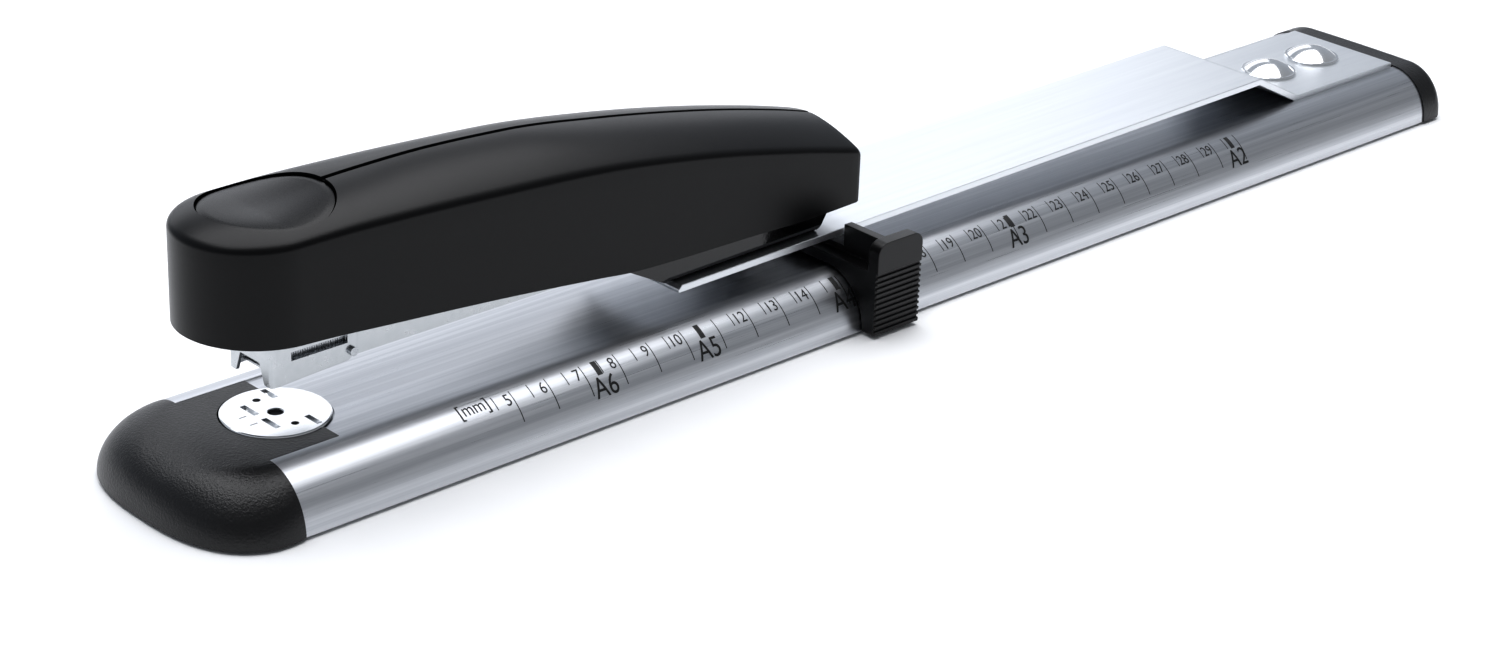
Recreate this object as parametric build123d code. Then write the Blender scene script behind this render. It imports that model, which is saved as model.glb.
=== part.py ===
from build123d import *
import os

# Long-arm stapler, in millimetres.
#
# Modelling frame: x = 0 on the staple line and +X towards the rear, y = 0 on the centre plane, z = 0 on the
# crests of the rail. place() moves every piece into the part's own frame, whose origin is the middle of the
# overall length and width, on the surface that the feet stand on.

# ---------------------------------------------------------------- base rail and end caps
RAIL_LENGTH = 388.0
RAIL_HALF_WIDTH = 29.4
RAIL_HEIGHT = 13.1
RAIL_WALL = 1.8
CREST_HALF_WIDTH = 17.4          # half the width of the flat strip between the two crests
STRIP_DEPTH = 0.4                # the strip lies this far below the crests
STAPLE_INSET = 9.8               # rail's front end to the staple line
FRONT_CAP_LENGTH = 22.7
REAR_CAP_LENGTH = 9.5
CAP_LIP = 0.9                    # end caps stand proud of the rail's section
NOSE_CORNER = 18.0
NOSE_EDGE = 3.0                  # upright part of the nose before it rounds over
NOSE_ROUND = 19.0                # length of the rounding, along the nose
PLUG_LENGTH = 16.0
PLUG_CLEAR = 1.0                 # the plugs end this far below the rivets' washers
PLUG_GAP = 0.15
REAR_CAP_STRAIGHT = 0.75         # share of the rear cap's length before it bulges
OVERRUN = 1.0                    # a cut reaches this far past the face it opens
FOOT_RADIUS = 5.0
FOOT_PROUD = 0.8
FOOT_SUNK = 0.7
FOOT_HALF_SPACING = 17.0
FRONT_FOOT_SETBACK = 10.0        # from the front cap's joint
REAR_FOOT_SETBACK = 9.0          # from the rear cap's joint

# ---------------------------------------------------------------- anvil
ANVIL_SETBACK = 4.0              # disc's centre behind the staple line
ANVIL_RADIUS = 12.1
ANVIL_THICKNESS = 1.5
ANVIL_PROUD = 0.3
SEAT_GAP = 0.3
TONGUE_PAST_ANVIL = 4.0          # the front cap's tongue ends this far behind the disc's centre
TONGUE_THICKNESS = 4.4
TONGUE_GAP = 0.2
STEM_RADIUS = 1.6
STEM_SUNK = 0.7
STEM_SHOULDER_RADIUS = 2.6
STEM_SHOULDER_HEIGHT = 0.8
STEM_BUTTON_RADIUS = 4.5
STEM_BUTTON_HEIGHT = 1.0
STEM_BUTTON_CLEAR = 1.6          # button's underside above the rail's underside
STEM_BUTTON_ROOM = 1.0           # front plug to the button
RUNNING_GAP = 0.06               # radial clearance of a pin that turns or slides
PIN_HOLE_RADIUS = 0.9
PIN_HOLE_SPREAD = 7.0
GROOVE_WIDTH = 2.6
GROOVE_DEPTH = 0.6
INNER_GROOVE_START = 1.0         # the pair that folds the legs inwards begins here, beside the middle
INNER_GROOVE_PAST = 1.0          # and ends this far outside the staple
OUTER_GROOVE_INSIDE = 0.8        # the pair that folds them outwards begins this far inside the staple
OUTER_GROOVE_MARGIN = 1.1        # and ends this far inside the disc's edge

# ---------------------------------------------------------------- arm
ARM_FRONT = 104.0                # front edge behind the staple line
ARM_FRONT_TOP = 7.7
ARM_REAR_TOP = 10.1
ARM_THICKNESS = 1.8
ARM_SIDE_GAP = 0.2
FLANGE_LENGTH = 43.2
FLANGE_MARGIN = 1.0
RISER_RUN = 17.4
RIVET_SPACING = 19.5
RIVET_SETBACK = 15.7             # rear rivet to the rail's rear end
RIVET_SHANK_RADIUS = 2.5
RIVET_RIM_RADIUS = 7.65
RIVET_RIM_HEIGHT = 0.7
RIVET_DOME_HEIGHT = 2.6
RIVET_DOME_INSET = 0.8           # dome's foot inside the rim's edge
WASHER_RADIUS = 6.0
WASHER_THICKNESS = 1.2
HOLE_GAP = 0.05

# ---------------------------------------------------------------- magazine
STAPLE_HALF_WIDTH = 6.2
STAPLE_WIRE = 0.6
STAPLE_HEIGHT = 6.5
STRIP_START = 0.4
STAPLE_STRIP_LENGTH = 53.6
SHEET = 0.6
SLIDE_GAP = 0.1
CORE_GAP = 0.2
CHANNEL_FRONT = 0.5
CHANNEL_UNDERSIDE = 11.5
CHANNEL_HEIGHT = 8.4
CHANNEL_REAR_MARGIN = 5.0        # floor ends this far in front of the hinge pin
EAR_RADIUS = 3.0
CORE_REAR_MARGIN = 13.0
CORE_WALL = 0.8
CORE_END_WALL = 2.0
CORE_SLOT = 3.4
CORE_FRONT_MARGIN = 0.4          # core's front end behind the strip's
CORE_SLOT_LEAD = 6.0             # the slot begins this far in front of the strip's end
CORE_SLOT_MARGIN = 8.0           # and ends this far in front of the core's rear end
GUIDE_FRONT = -2.2
GUIDE_FRONT_WALL = 0.8
GUIDE_LENGTH = 22.2
GUIDE_TIP = 10.2
GUIDE_TOP = 21.4
GUIDE_SHEET = 0.8
GUIDE_GAP = 0.05
GUIDE_TOP_FALL = 1.5             # the top edge falls this much to the rear
GUIDE_UNDER_CHANNEL = 0.3        # the lower edge passes this far below the channel
GUIDE_CORNER_RUN = 2.5           # bevel of the rear lower corner, along and upwards
GUIDE_CORNER_RISE = 1.2
ARCH_LEG_TOP = 4.35              # width of the guide's front legs where the arch begins
ARCH_LEG_FOOT = 2.75
ARCH_HEIGHT = 4.6
WINDOW = (3.0, 17.5)             # side window, from and to behind the staple line
WINDOW_RISE = (3.9, 5.7)         # its lower and upper edge above the channel's underside
GUIDE_PIN_RADIUS = 1.0
GUIDE_PIN_PROUD = 0.9
GUIDE_PIN_SETBACK = 1.4          # in front of the guide's rear edge
GUIDE_PIN_RISE = 1.7             # above the channel's underside
PUSHER_LENGTH = 14.0
ROD_RADIUS = 1.2
SPRING_WIRE = 0.35
PUSHER_COIL_RADIUS = 2.1
PUSHER_COIL_TURNS = 14
ANVIL_COIL_RADIUS = 2.6
ANVIL_COIL_TURNS = 4

# ---------------------------------------------------------------- hinge
HINGE_REACH = 153.0              # hinge pin behind the staple line
HINGE_RISE = 19.9
HINGE_PIN_RADIUS = 2.0
FRAME_GAP = 2.05                 # nose guide's side to the lever's side
LEVER_SHEET = 1.2
CLIP_SPACE = 2.8                 # lever's side to the bracket's side
CLIP_RADIUS = 4.0
CLIP_THICKNESS = 0.8
BRACKET_SHEET = 1.2
BRACKET_EAR_RADIUS = 5.0
BRACKET_NOSE = 16.0              # its sides reach this far in front of the arm
BRACKET_NOSE_RISE = 15.4
BRACKET_NOSE_HEIGHT = 3.0
BRACKET_BASE_SETBACK = 18.0
BRACKET_REAR_MARGIN = 3.0
BRACKET_FOOT_INSET = 0.5         # its sides come down this far behind the arm's front edge
BRACKET_RIVET_RADIUS = 1.5
BRACKET_RIVET_HEAD_RADIUS = 3.0
BRACKET_RIVET_HEAD = 0.5
BRACKET_RIVET_SETBACKS = (5.5, 14.0)   # in front of the hinge pin
LIFT_SPRING_CLEAR = 1.0          # rear end to the nearest rivet head
LIFT_SPRING_SEAT = 4.0           # flat part on the bracket's base
LIFT_SPRING_SHEET = 0.4
LIFT_SPRING_HALF_WIDTH = 4.0

# ---------------------------------------------------------------- handle
COVER_GAP = 0.5                  # bracket's side to the inside of the cover
COVER_WALL = 2.0
COVER_NOSE = 18.0                # cover's front, in front of the staple line
COVER_REAR = 9.5                 # cover's rear, behind the hinge pin
COVER_RIBS = (25.0, 95.0)
COVER_RIB_THICKNESS = 2.0
PAD_SETBACK = 2.9
PAD_RADIUS = 14.2
PAD_GAP = 0.45
PAD_SEAT = 44.6
PAD_SEAT_WALL = 1.6
PAD_SEAT_FLOOR = 1.8
# Outlines of the cover from the side: (share of the hinge's reach, height).
COVER_EDGE = ((-0.12, 24.2), (0.0, 23.6), (0.16, 21.7), (0.335, 19.4), (0.52, 16.4),
              (0.59, 15.2), (0.69, 14.6), (0.83, 14.2), (0.94, 13.7), (1.063, 14.1))
COVER_CREASE = ((-0.12, 46.0), (0.044, 46.1), (0.16, 45.6), (0.335, 44.2), (0.52, 42.3),
                (0.715, 38.3), (0.923, 32.0), (1.063, 26.9))
COVER_RIDGE = ((-0.12, 48.4), (0.02, 49.9), (0.16, 50.9), (0.25, 51.1), (0.43, 49.8),
               (0.615, 46.1), (0.817, 40.6), (0.98, 34.9), (1.063, 31.4))
COVER_STATIONS = (-0.12, 0.02, 0.16, 0.25, 0.335, 0.43, 0.52, 0.615, 0.715, 0.817, 0.94, 1.063)
LEVER_TOP_FRONT = 33.1
LEVER_TOP_MIDDLE = 28.4
LEVER_TOP_REAR = 25.4
LEVER_MIDDLE_MARGIN = 23.0
LEVER_REAR = 3.5
LEVER_TAB_DROP = 1.2
LEVER_FRONT_DEPTH = 4.0          # depth of the lever's sides in front
LEVER_SIDE_BEND = 0.4            # share of the reach where the sides' lower edge bends
LEVER_SIDE_RISE = 3.0            # that bend above the hinge pin
LEVER_EAR_MARGIN = 1.0           # lever's ears below the magazine's
HANDLE_SPRING_SETBACK = 12.0     # rear end in front of the hinge pin
HANDLE_SPRING_CLAMP = 12.0       # part that lies under the lever
HANDLE_SPRING_REST = 6.0         # part that lies on the channel
HANDLE_SPRING_TIP = 0.5          # front end, as a share of the rear end's distance
BLADE_THICKNESS = 0.5
BLADE_FRONT = -0.65
BLADE_TIP_RISE = 0.3             # tip above the staples' crown at rest
BLADE_TOP_DROP = 0.5             # its top below the lever's

# ---------------------------------------------------------------- depth stop
STOP_READING = 152.0             # distance from the staple line that the stop is set to
STOP_LENGTH = 15.0
STOP_GAP = 0.3
STOP_BRIDGE_TOP = 3.0
STOP_LOW_WALL_TOP = 4.4
STOP_WALL_TOP = 9.9
STOP_WALL_SETBACK = 4.0
STOP_WALL_THICKNESS = 2.5
STOP_GRIP_THICKNESS = 3.4
STOP_GRIP_TOP = 10.6
STOP_GRIP_CLEAR = 0.2
STOP_GRIP_CORNER = 3.0
STOP_GRIP_RIBS = 11
STOP_RIB_PITCH = 1.4
STOP_RIB_DEPTH = 0.5
STOP_SIDE_GAP = 0.8
STOP_SPRING_WIDTH = 8.0
STOP_SPRING_HALF_SPAN = 9.0
STOP_SPRING_SHEET = 0.4
STOP_SPRING_POCKET = 1.2

# ---------------------------------------------------------------- sizes that follow from those above
rail_front = -STAPLE_INSET
rail_rear = rail_front + RAIL_LENGTH
rail_base = -RAIL_HEIGHT
strip_level = -STRIP_DEPTH
front_end = rail_front - FRONT_CAP_LENGTH
rear_end = rail_rear + REAR_CAP_LENGTH
tongue_end = ANVIL_SETBACK + TONGUE_PAST_ANVIL
seat_level = ANVIL_PROUD - ANVIL_THICKNESS

flange_front = rail_rear - FLANGE_MARGIN - FLANGE_LENGTH
riser_top_x = flange_front - RISER_RUN
flange_top = strip_level + ARM_THICKNESS
washer_level = strip_level - RAIL_WALL
plug_top = washer_level - WASHER_THICKNESS - PLUG_CLEAR
arm_half_width = CREST_HALF_WIDTH - ARM_SIDE_GAP

channel_inner = STAPLE_HALF_WIDTH + SLIDE_GAP
channel_half_width = channel_inner + SHEET
channel_floor = CHANNEL_UNDERSIDE + SHEET
channel_top = CHANNEL_UNDERSIDE + CHANNEL_HEIGHT
core_half_width = STAPLE_HALF_WIDTH - STAPLE_WIRE - SLIDE_GAP / 2
core_rear = HINGE_REACH - CORE_REAR_MARGIN
crown_top = channel_floor + CORE_GAP + STAPLE_HEIGHT
core_top = crown_top - STAPLE_WIRE - CORE_GAP
strip_end = STRIP_START + STAPLE_STRIP_LENGTH
rod_height = (channel_floor + core_top - CORE_WALL) / 2
guide_inner = channel_half_width + GUIDE_GAP
guide_half_width = guide_inner + GUIDE_SHEET
guide_rear = GUIDE_FRONT + GUIDE_LENGTH

lever_inner = guide_half_width + FRAME_GAP
lever_half_width = lever_inner + LEVER_SHEET
bracket_inner = lever_half_width + CLIP_SPACE
bracket_half_width = bracket_inner + BRACKET_SHEET
cover_inner = bracket_half_width + COVER_GAP
cover_half_width = cover_inner + COVER_WALL
cover_rear = HINGE_REACH + COVER_REAR
cover_high = max(height for _, height in COVER_RIDGE)

place = Pos(-(front_end + rear_end) / 2, 0, RAIL_HEIGHT + FOOT_PROUD)


def at(table, share):
    """Height of a side outline at a share of the hinge's reach, by straight lines between its points."""
    for (x0, z0), (x1, z1) in zip(table, table[1:]):
        if share <= x1:
            return z0 + (z1 - z0) * (share - x0) / (x1 - x0)
    return table[-1][1]


def arm_top(x):
    """Height of the arm's upper face, which rises gently to the rear."""
    return ARM_FRONT_TOP + (ARM_REAR_TOP - ARM_FRONT_TOP) * (x - ARM_FRONT) / (riser_top_x - ARM_FRONT)


def lever_top(x):
    """Height of the lever's upper face."""
    bend = HINGE_REACH - LEVER_MIDDLE_MARGIN
    if x <= bend:
        return LEVER_TOP_FRONT + (LEVER_TOP_MIDDLE - LEVER_TOP_FRONT) * (x - BLADE_FRONT) / (bend - BLADE_FRONT)
    run = LEVER_MIDDLE_MARGIN + LEVER_REAR
    return LEVER_TOP_MIDDLE + (LEVER_TOP_REAR - LEVER_TOP_MIDDLE) * (x - bend) / run


def side_face(*points):
    """Closed outline in the side view, from (x, z) points."""
    return make_face(Polyline(*points, close=True))


def across(face, y_low, y_high):
    """A side-view face made solid between two places across the width."""
    return extrude(Plane.XZ.offset(-y_high) * face, y_high - y_low)


def both_sides(face, y_inner, y_outer):
    """The same plate on the left and on the right."""
    return across(face, y_inner, y_outer) + across(face, -y_outer, -y_inner)


def along(face, x_low, x_high):
    """A front-view face, in (y, z), made solid between two places along the length."""
    return extrude(Plane.YZ.offset(x_low) * face, x_high - x_low)


def block(x_low, x_high, y_low, y_high, z_low, z_high):
    """A plain block between two corners."""
    size = (x_high - x_low, y_high - y_low, z_high - z_low)
    middle = Pos((x_low + x_high) / 2, (y_low + y_high) / 2, (z_low + z_high) / 2)
    return middle * Box(*size)


def bar(x, z, radius, y_low, y_high):
    """A round bar lying across the width."""
    return across(Pos(x, z) * Circle(radius), y_low, y_high)


def post(x, y, radius, z_low, z_high):
    """A round bar standing upright."""
    return Pos(x, y, z_low) * extrude(Circle(radius), z_high - z_low)


def rail_section(inset, level):
    """Outline of the rail's end, set in by a wall: two quarter ovals joined by a straight top."""
    rise = RAIL_HEIGHT - inset
    reach = RAIL_HALF_WIDTH - CREST_HALF_WIDTH - inset
    crest = CREST_HALF_WIDTH
    right = EllipticalCenterArc((crest, rail_base), reach, rise, 0, arc_size=90)
    left = EllipticalCenterArc((-crest, rail_base), reach, rise, 90, arc_size=90)
    top = Line((crest, rail_base + rise), (-crest, rail_base + rise))
    if level < rail_base + rise:
        top = Polyline((crest, rail_base + rise), (crest, level), (-crest, level), (-crest, rail_base + rise))
    base = Line((-crest - reach, rail_base), (crest + reach, rail_base))
    return make_face([right, top, left, base])


def base_rail():
    """Aluminium extrusion: a thin shell, open underneath, with its front notched for the cap's tongue."""
    bore = rail_section(RAIL_WALL, strip_level - RAIL_WALL)
    rail = along(rail_section(0, strip_level), rail_front, rail_rear) - along(bore, rail_front, rail_rear)
    half = CREST_HALF_WIDTH - TONGUE_GAP
    rail -= block(rail_front, tongue_end + TONGUE_GAP, -half, half, rail_base, OVERRUN)
    rail -= post(ANVIL_SETBACK, 0, ANVIL_RADIUS + SEAT_GAP, seat_level, OVERRUN)
    for x in rivet_places():
        rail -= post(x, 0, RIVET_SHANK_RADIUS + HOLE_GAP, rail_base, OVERRUN)
    return rail


def plug(x_low, x_high):
    """The part of an end cap that goes inside the rail."""
    section = rail_section(RAIL_WALL + PLUG_GAP, strip_level - RAIL_WALL - PLUG_GAP)
    limit = block(x_low, x_high, -RAIL_HALF_WIDTH, RAIL_HALF_WIDTH, rail_base, plug_top)
    return along(section, x_low, x_high) & limit


def foot_places():
    """Centres of the four feet."""
    front = rail_front - FRONT_FOOT_SETBACK
    rear = rail_rear - REAR_FOOT_SETBACK
    return [(x, y) for x in (front, rear) for y in (-FOOT_HALF_SPACING, FOOT_HALF_SPACING)]


def front_end_cap():
    """Rounded nose, a plug inside the rail, and a tongue under the anvil that is flush with the rail."""
    wide = RAIL_HALF_WIDTH + CAP_LIP
    nose = along(rail_section(-CAP_LIP, CAP_LIP), front_end, rail_front)
    nose &= block(front_end, rail_front, -wide, wide, rail_base, CAP_LIP)
    plan = fillet(Rectangle(2 * FRONT_CAP_LENGTH, 2 * wide).vertices(), NOSE_CORNER)
    nose &= Pos(rail_front, 0, rail_base) * extrude(plan, RAIL_HEIGHT + CAP_LIP)
    rise = RAIL_HEIGHT + CAP_LIP - NOSE_EDGE
    brow_centre = (front_end + NOSE_ROUND, rail_base + NOSE_EDGE)
    brow = EllipticalCenterArc(brow_centre, NOSE_ROUND, rise, 90, arc_size=90)
    outline = Polyline((front_end, rail_base + NOSE_EDGE), (front_end, rail_base), (rail_front, rail_base),
                       (rail_front, CAP_LIP), (front_end + NOSE_ROUND, CAP_LIP))
    nose &= across(make_face([brow, outline]), -wide, wide)
    half = CREST_HALF_WIDTH - 2 * TONGUE_GAP
    tongue = block(rail_front, tongue_end, -half, half, -TONGUE_THICKNESS, 0)
    cap = nose + tongue + plug(rail_front, ANVIL_SETBACK - STEM_BUTTON_RADIUS - STEM_BUTTON_ROOM)
    cap -= post(ANVIL_SETBACK, 0, ANVIL_RADIUS + SEAT_GAP, seat_level, CAP_LIP + OVERRUN)
    cap -= post(ANVIL_SETBACK, 0, STEM_RADIUS + RUNNING_GAP, -TONGUE_THICKNESS, OVERRUN)
    shoulder_room = seat_level - STEM_SHOULDER_HEIGHT - SEAT_GAP
    cap -= post(ANVIL_SETBACK, 0, STEM_SHOULDER_RADIUS + SEAT_GAP, shoulder_room, OVERRUN)
    for x, y in foot_places()[:2]:
        cap -= post(x, y, FOOT_RADIUS, rail_base - OVERRUN, rail_base + FOOT_SUNK)
    return cap


def rear_end_cap():
    """Bulged cover over the rail's rear end, with its plug."""
    wide = RAIL_HALF_WIDTH + CAP_LIP
    cover = along(rail_section(-CAP_LIP, CAP_LIP), rail_rear, rear_end)
    side = rail_rear + REAR_CAP_STRAIGHT * REAR_CAP_LENGTH
    bulge = ThreePointArc((side, -wide), (rear_end, 0), (side, wide))
    edges = Polyline((side, wide), (rail_rear, wide), (rail_rear, -wide), (side, -wide))
    cover &= Pos(0, 0, rail_base) * extrude(make_face([bulge, edges]), RAIL_HEIGHT + CAP_LIP)
    cap = cover + plug(rail_rear - PLUG_LENGTH, rail_rear)
    for x, y in foot_places()[2:]:
        cap -= post(x, y, FOOT_RADIUS, rail_base - OVERRUN, rail_base + FOOT_SUNK)
    return cap


def feet():
    """Four rubber discs let into the end caps."""
    return [post(x, y, FOOT_RADIUS, rail_base - FOOT_PROUD, rail_base + FOOT_SUNK) for x, y in foot_places()]


def anvil_plate():
    """Turning disc with a pivot hole, two fixing holes and the two pairs of forming grooves."""
    disc = post(ANVIL_SETBACK, 0, ANVIL_RADIUS, seat_level, ANVIL_PROUD)
    disc -= post(ANVIL_SETBACK, 0, STEM_RADIUS + RUNNING_GAP, seat_level, ANVIL_PROUD)
    inner = (INNER_GROOVE_START, STAPLE_HALF_WIDTH + INNER_GROOVE_PAST)
    outer = (STAPLE_HALF_WIDTH - OUTER_GROOVE_INSIDE, ANVIL_RADIUS - OUTER_GROOVE_MARGIN)
    for side in (-1, 1):
        disc -= post(ANVIL_SETBACK, side * PIN_HOLE_SPREAD, PIN_HOLE_RADIUS, seat_level, ANVIL_PROUD)
        for x, (near, far) in ((0, inner), (2 * ANVIL_SETBACK, outer)):
            low, high = sorted((side * near, side * far))
            half = GROOVE_WIDTH / 2
            disc -= block(x - half, x + half, low, high, ANVIL_PROUD - GROOVE_DEPTH, ANVIL_PROUD)
    return disc


def anvil_stem():
    """Headed stem: the anvil turns on its top, a shoulder lifts the anvil, a button below takes a finger."""
    button = rail_base + STEM_BUTTON_CLEAR
    stem = post(ANVIL_SETBACK, 0, STEM_RADIUS, button, ANVIL_PROUD - STEM_SUNK)
    stem += post(ANVIL_SETBACK, 0, STEM_SHOULDER_RADIUS, seat_level - STEM_SHOULDER_HEIGHT, seat_level)
    return stem + post(ANVIL_SETBACK, 0, STEM_BUTTON_RADIUS, button, button + STEM_BUTTON_HEIGHT)


def coil(radius, wire, length, turns):
    """Helical spring standing on z = 0, its wire ends clear of both seats."""
    rise = length - 2 * wire
    path = Helix(pitch=rise / turns, height=rise, radius=radius)
    section = Plane(origin=path @ 0, z_dir=path % 0) * Circle(wire)
    return Pos(0, 0, wire) * sweep(section, path)


def anvil_spring():
    """Coil between the tongue and the stem's button."""
    bottom = rail_base + STEM_BUTTON_CLEAR + STEM_BUTTON_HEIGHT
    gap = -TONGUE_THICKNESS - bottom
    return Pos(ANVIL_SETBACK, 0, bottom) * coil(ANVIL_COIL_RADIUS, SPRING_WIRE, gap, ANVIL_COIL_TURNS)


def rivet_places():
    """Places along the length of the two domed rivets."""
    rear = rail_rear - RIVET_SETBACK
    return (rear - RIVET_SPACING, rear)


def arm_plate():
    """Steel strip, bent down at the rear to a flange on the rail."""
    upper = [(ARM_FRONT, arm_top(ARM_FRONT)), (riser_top_x, ARM_REAR_TOP),
             (flange_front, flange_top), (rail_rear - FLANGE_MARGIN, flange_top)]
    lower = [(x, z - ARM_THICKNESS) for x, z in reversed(upper)]
    arm = across(side_face(*upper, *lower), -arm_half_width, arm_half_width)
    for x in rivet_places():
        arm -= post(x, 0, RIVET_SHANK_RADIUS + HOLE_GAP, strip_level - OVERRUN, flange_top + OVERRUN)
    for setback in BRACKET_RIVET_SETBACKS:
        x = HINGE_REACH - setback
        arm -= post(x, 0, BRACKET_RIVET_RADIUS + HOLE_GAP, 0, ARM_REAR_TOP + OVERRUN)
    return arm


def arm_rivets():
    """Two rivets with a thin rim and a low polished dome."""
    bottom = washer_level - WASHER_THICKNESS
    rim = flange_top + RIVET_RIM_HEIGHT
    dome_foot = RIVET_RIM_RADIUS - RIVET_DOME_INSET
    crown = ThreePointArc((-dome_foot, rim), (0, rim + RIVET_DOME_HEIGHT), (dome_foot, rim))
    right_side = Pos(RIVET_RIM_RADIUS, rim) * Rectangle(2 * RIVET_RIM_RADIUS, 4 * RIVET_DOME_HEIGHT)
    half = make_face([crown, Line((dome_foot, rim), (-dome_foot, rim))]) & right_side
    dome = revolve(Plane.XZ * half, Axis.Z)
    head = post(0, 0, RIVET_RIM_RADIUS, flange_top, rim) + dome
    rivet = head + post(0, 0, RIVET_SHANK_RADIUS, bottom, flange_top)
    return [Pos(x, 0, 0) * rivet for x in rivet_places()]


def rivet_washers():
    """Backing washers under the rail's strip."""
    ring = Circle(WASHER_RADIUS) - Circle(RIVET_SHANK_RADIUS + HOLE_GAP)
    low = washer_level - WASHER_THICKNESS
    return [Pos(x, 0, low) * extrude(ring, WASHER_THICKNESS) for x in rivet_places()]


def bracket_side():
    """Side outline of the hinge bracket: a bevelled nose in front, a round ear about the pin."""
    nose_x = ARM_FRONT - BRACKET_NOSE
    ear_top = HINGE_RISE + BRACKET_EAR_RADIUS
    ear = CenterArc((HINGE_REACH, HINGE_RISE), BRACKET_EAR_RADIUS, 0, 90)
    ear_rear = (HINGE_REACH + BRACKET_EAR_RADIUS, HINGE_RISE)
    foot_rear = HINGE_REACH - BRACKET_REAR_MARGIN
    foot_front = ARM_FRONT + BRACKET_FOOT_INSET
    rest = Polyline(ear_rear, (foot_rear, arm_top(foot_rear)), (foot_front, arm_top(foot_front)),
                    (nose_x, BRACKET_NOSE_RISE), (nose_x, BRACKET_NOSE_RISE + BRACKET_NOSE_HEIGHT),
                    (HINGE_REACH, ear_top))
    return make_face([ear, rest])


def hinge_bracket():
    """Channel riveted on the arm, whose two ears hold the hinge pin."""
    sides = both_sides(bracket_side(), bracket_inner, bracket_half_width)
    front = ARM_FRONT + BRACKET_BASE_SETBACK
    rear = HINGE_REACH - BRACKET_REAR_MARGIN
    base = side_face((front, arm_top(front)), (rear, arm_top(rear)),
                     (rear, arm_top(rear) + BRACKET_SHEET), (front, arm_top(front) + BRACKET_SHEET))
    bracket = sides + across(base, -bracket_half_width, bracket_half_width)
    bracket -= bar(HINGE_REACH, HINGE_RISE, HINGE_PIN_RADIUS, -bracket_half_width, bracket_half_width)
    for setback in BRACKET_RIVET_SETBACKS:
        bracket -= post(HINGE_REACH - setback, 0, BRACKET_RIVET_RADIUS + HOLE_GAP, 0, HINGE_RISE)
    return bracket


def bracket_rivets():
    """Flat-headed rivets that hold the bracket on the arm."""
    rivets = []
    for setback in BRACKET_RIVET_SETBACKS:
        x = HINGE_REACH - setback
        seat = arm_top(x + BRACKET_RIVET_HEAD_RADIUS) + BRACKET_SHEET
        shank = post(x, 0, BRACKET_RIVET_RADIUS, arm_top(x) - ARM_THICKNESS, seat)
        rivets.append(shank + post(x, 0, BRACKET_RIVET_HEAD_RADIUS, seat, seat + BRACKET_RIVET_HEAD))
    return rivets


def hinge_pin():
    """Pin that the magazine and the lever turn on."""
    return bar(HINGE_REACH, HINGE_RISE, HINGE_PIN_RADIUS, -bracket_half_width, bracket_half_width)


def pin_clips():
    """Retaining rings on the pin, inside the bracket's ears."""
    ring = Circle(CLIP_RADIUS) - Circle(HINGE_PIN_RADIUS)
    face = Pos(HINGE_REACH, HINGE_RISE) * ring
    outer = bracket_inner - SLIDE_GAP
    return [across(face, outer - CLIP_THICKNESS, outer), across(face, -outer, CLIP_THICKNESS - outer)]


def magazine_channel():
    """Open channel for the staples, with ears about the hinge pin and a side window near the front."""
    rear = HINGE_REACH - CHANNEL_REAR_MARGIN
    side = side_face((CHANNEL_FRONT, CHANNEL_UNDERSIDE), (rear, CHANNEL_UNDERSIDE),
                     (HINGE_REACH + EAR_RADIUS, HINGE_RISE - EAR_RADIUS),
                     (HINGE_REACH + EAR_RADIUS, HINGE_RISE + EAR_RADIUS),
                     (HINGE_REACH - 2 * EAR_RADIUS, HINGE_RISE + EAR_RADIUS),
                     (HINGE_REACH - 4 * EAR_RADIUS, channel_top), (CHANNEL_FRONT, channel_top))
    low, high = (CHANNEL_UNDERSIDE + rise for rise in WINDOW_RISE)
    window = side_face((WINDOW[0], low), (WINDOW[1], low), (WINDOW[1], high), (WINDOW[0], high))
    channel = both_sides(side - window, channel_inner, channel_half_width)
    channel += block(CHANNEL_FRONT, rear, -channel_half_width, channel_half_width,
                     CHANNEL_UNDERSIDE, channel_floor)
    hole = HINGE_PIN_RADIUS + RUNNING_GAP
    return channel - bar(HINGE_REACH, HINGE_RISE, hole, -channel_half_width, channel_half_width)


def nose_guide():
    """Plated guide round the magazine's front: two tapering sides and a front with an arch between two legs."""
    rear_low = CHANNEL_UNDERSIDE + GUIDE_CORNER_RISE
    low, high = (CHANNEL_UNDERSIDE + rise for rise in WINDOW_RISE)
    side = side_face((GUIDE_FRONT, GUIDE_TIP),
                     (guide_rear - GUIDE_CORNER_RUN, CHANNEL_UNDERSIDE - GUIDE_UNDER_CHANNEL),
                     (guide_rear, rear_low), (guide_rear, GUIDE_TOP - GUIDE_TOP_FALL), (GUIDE_FRONT, GUIDE_TOP))
    side -= side_face((WINDOW[0], low), (WINDOW[1], low), (WINDOW[1], high), (WINDOW[0], high))
    side -= Pos(guide_rear - GUIDE_PIN_SETBACK, CHANNEL_UNDERSIDE + GUIDE_PIN_RISE) * Circle(GUIDE_PIN_RADIUS)
    guide = both_sides(side, guide_inner, guide_half_width)
    foot_half = guide_half_width - ARCH_LEG_FOOT
    arch_half = guide_half_width - ARCH_LEG_TOP
    front = make_face(Polyline(
        (-guide_half_width, GUIDE_TIP), (-foot_half, GUIDE_TIP),
        (-arch_half, GUIDE_TIP + ARCH_HEIGHT), (arch_half, GUIDE_TIP + ARCH_HEIGHT),
        (foot_half, GUIDE_TIP), (guide_half_width, GUIDE_TIP),
        (guide_half_width, GUIDE_TOP), (-guide_half_width, GUIDE_TOP), close=True))
    return guide + along(front, GUIDE_FRONT, GUIDE_FRONT + GUIDE_FRONT_WALL)


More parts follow.
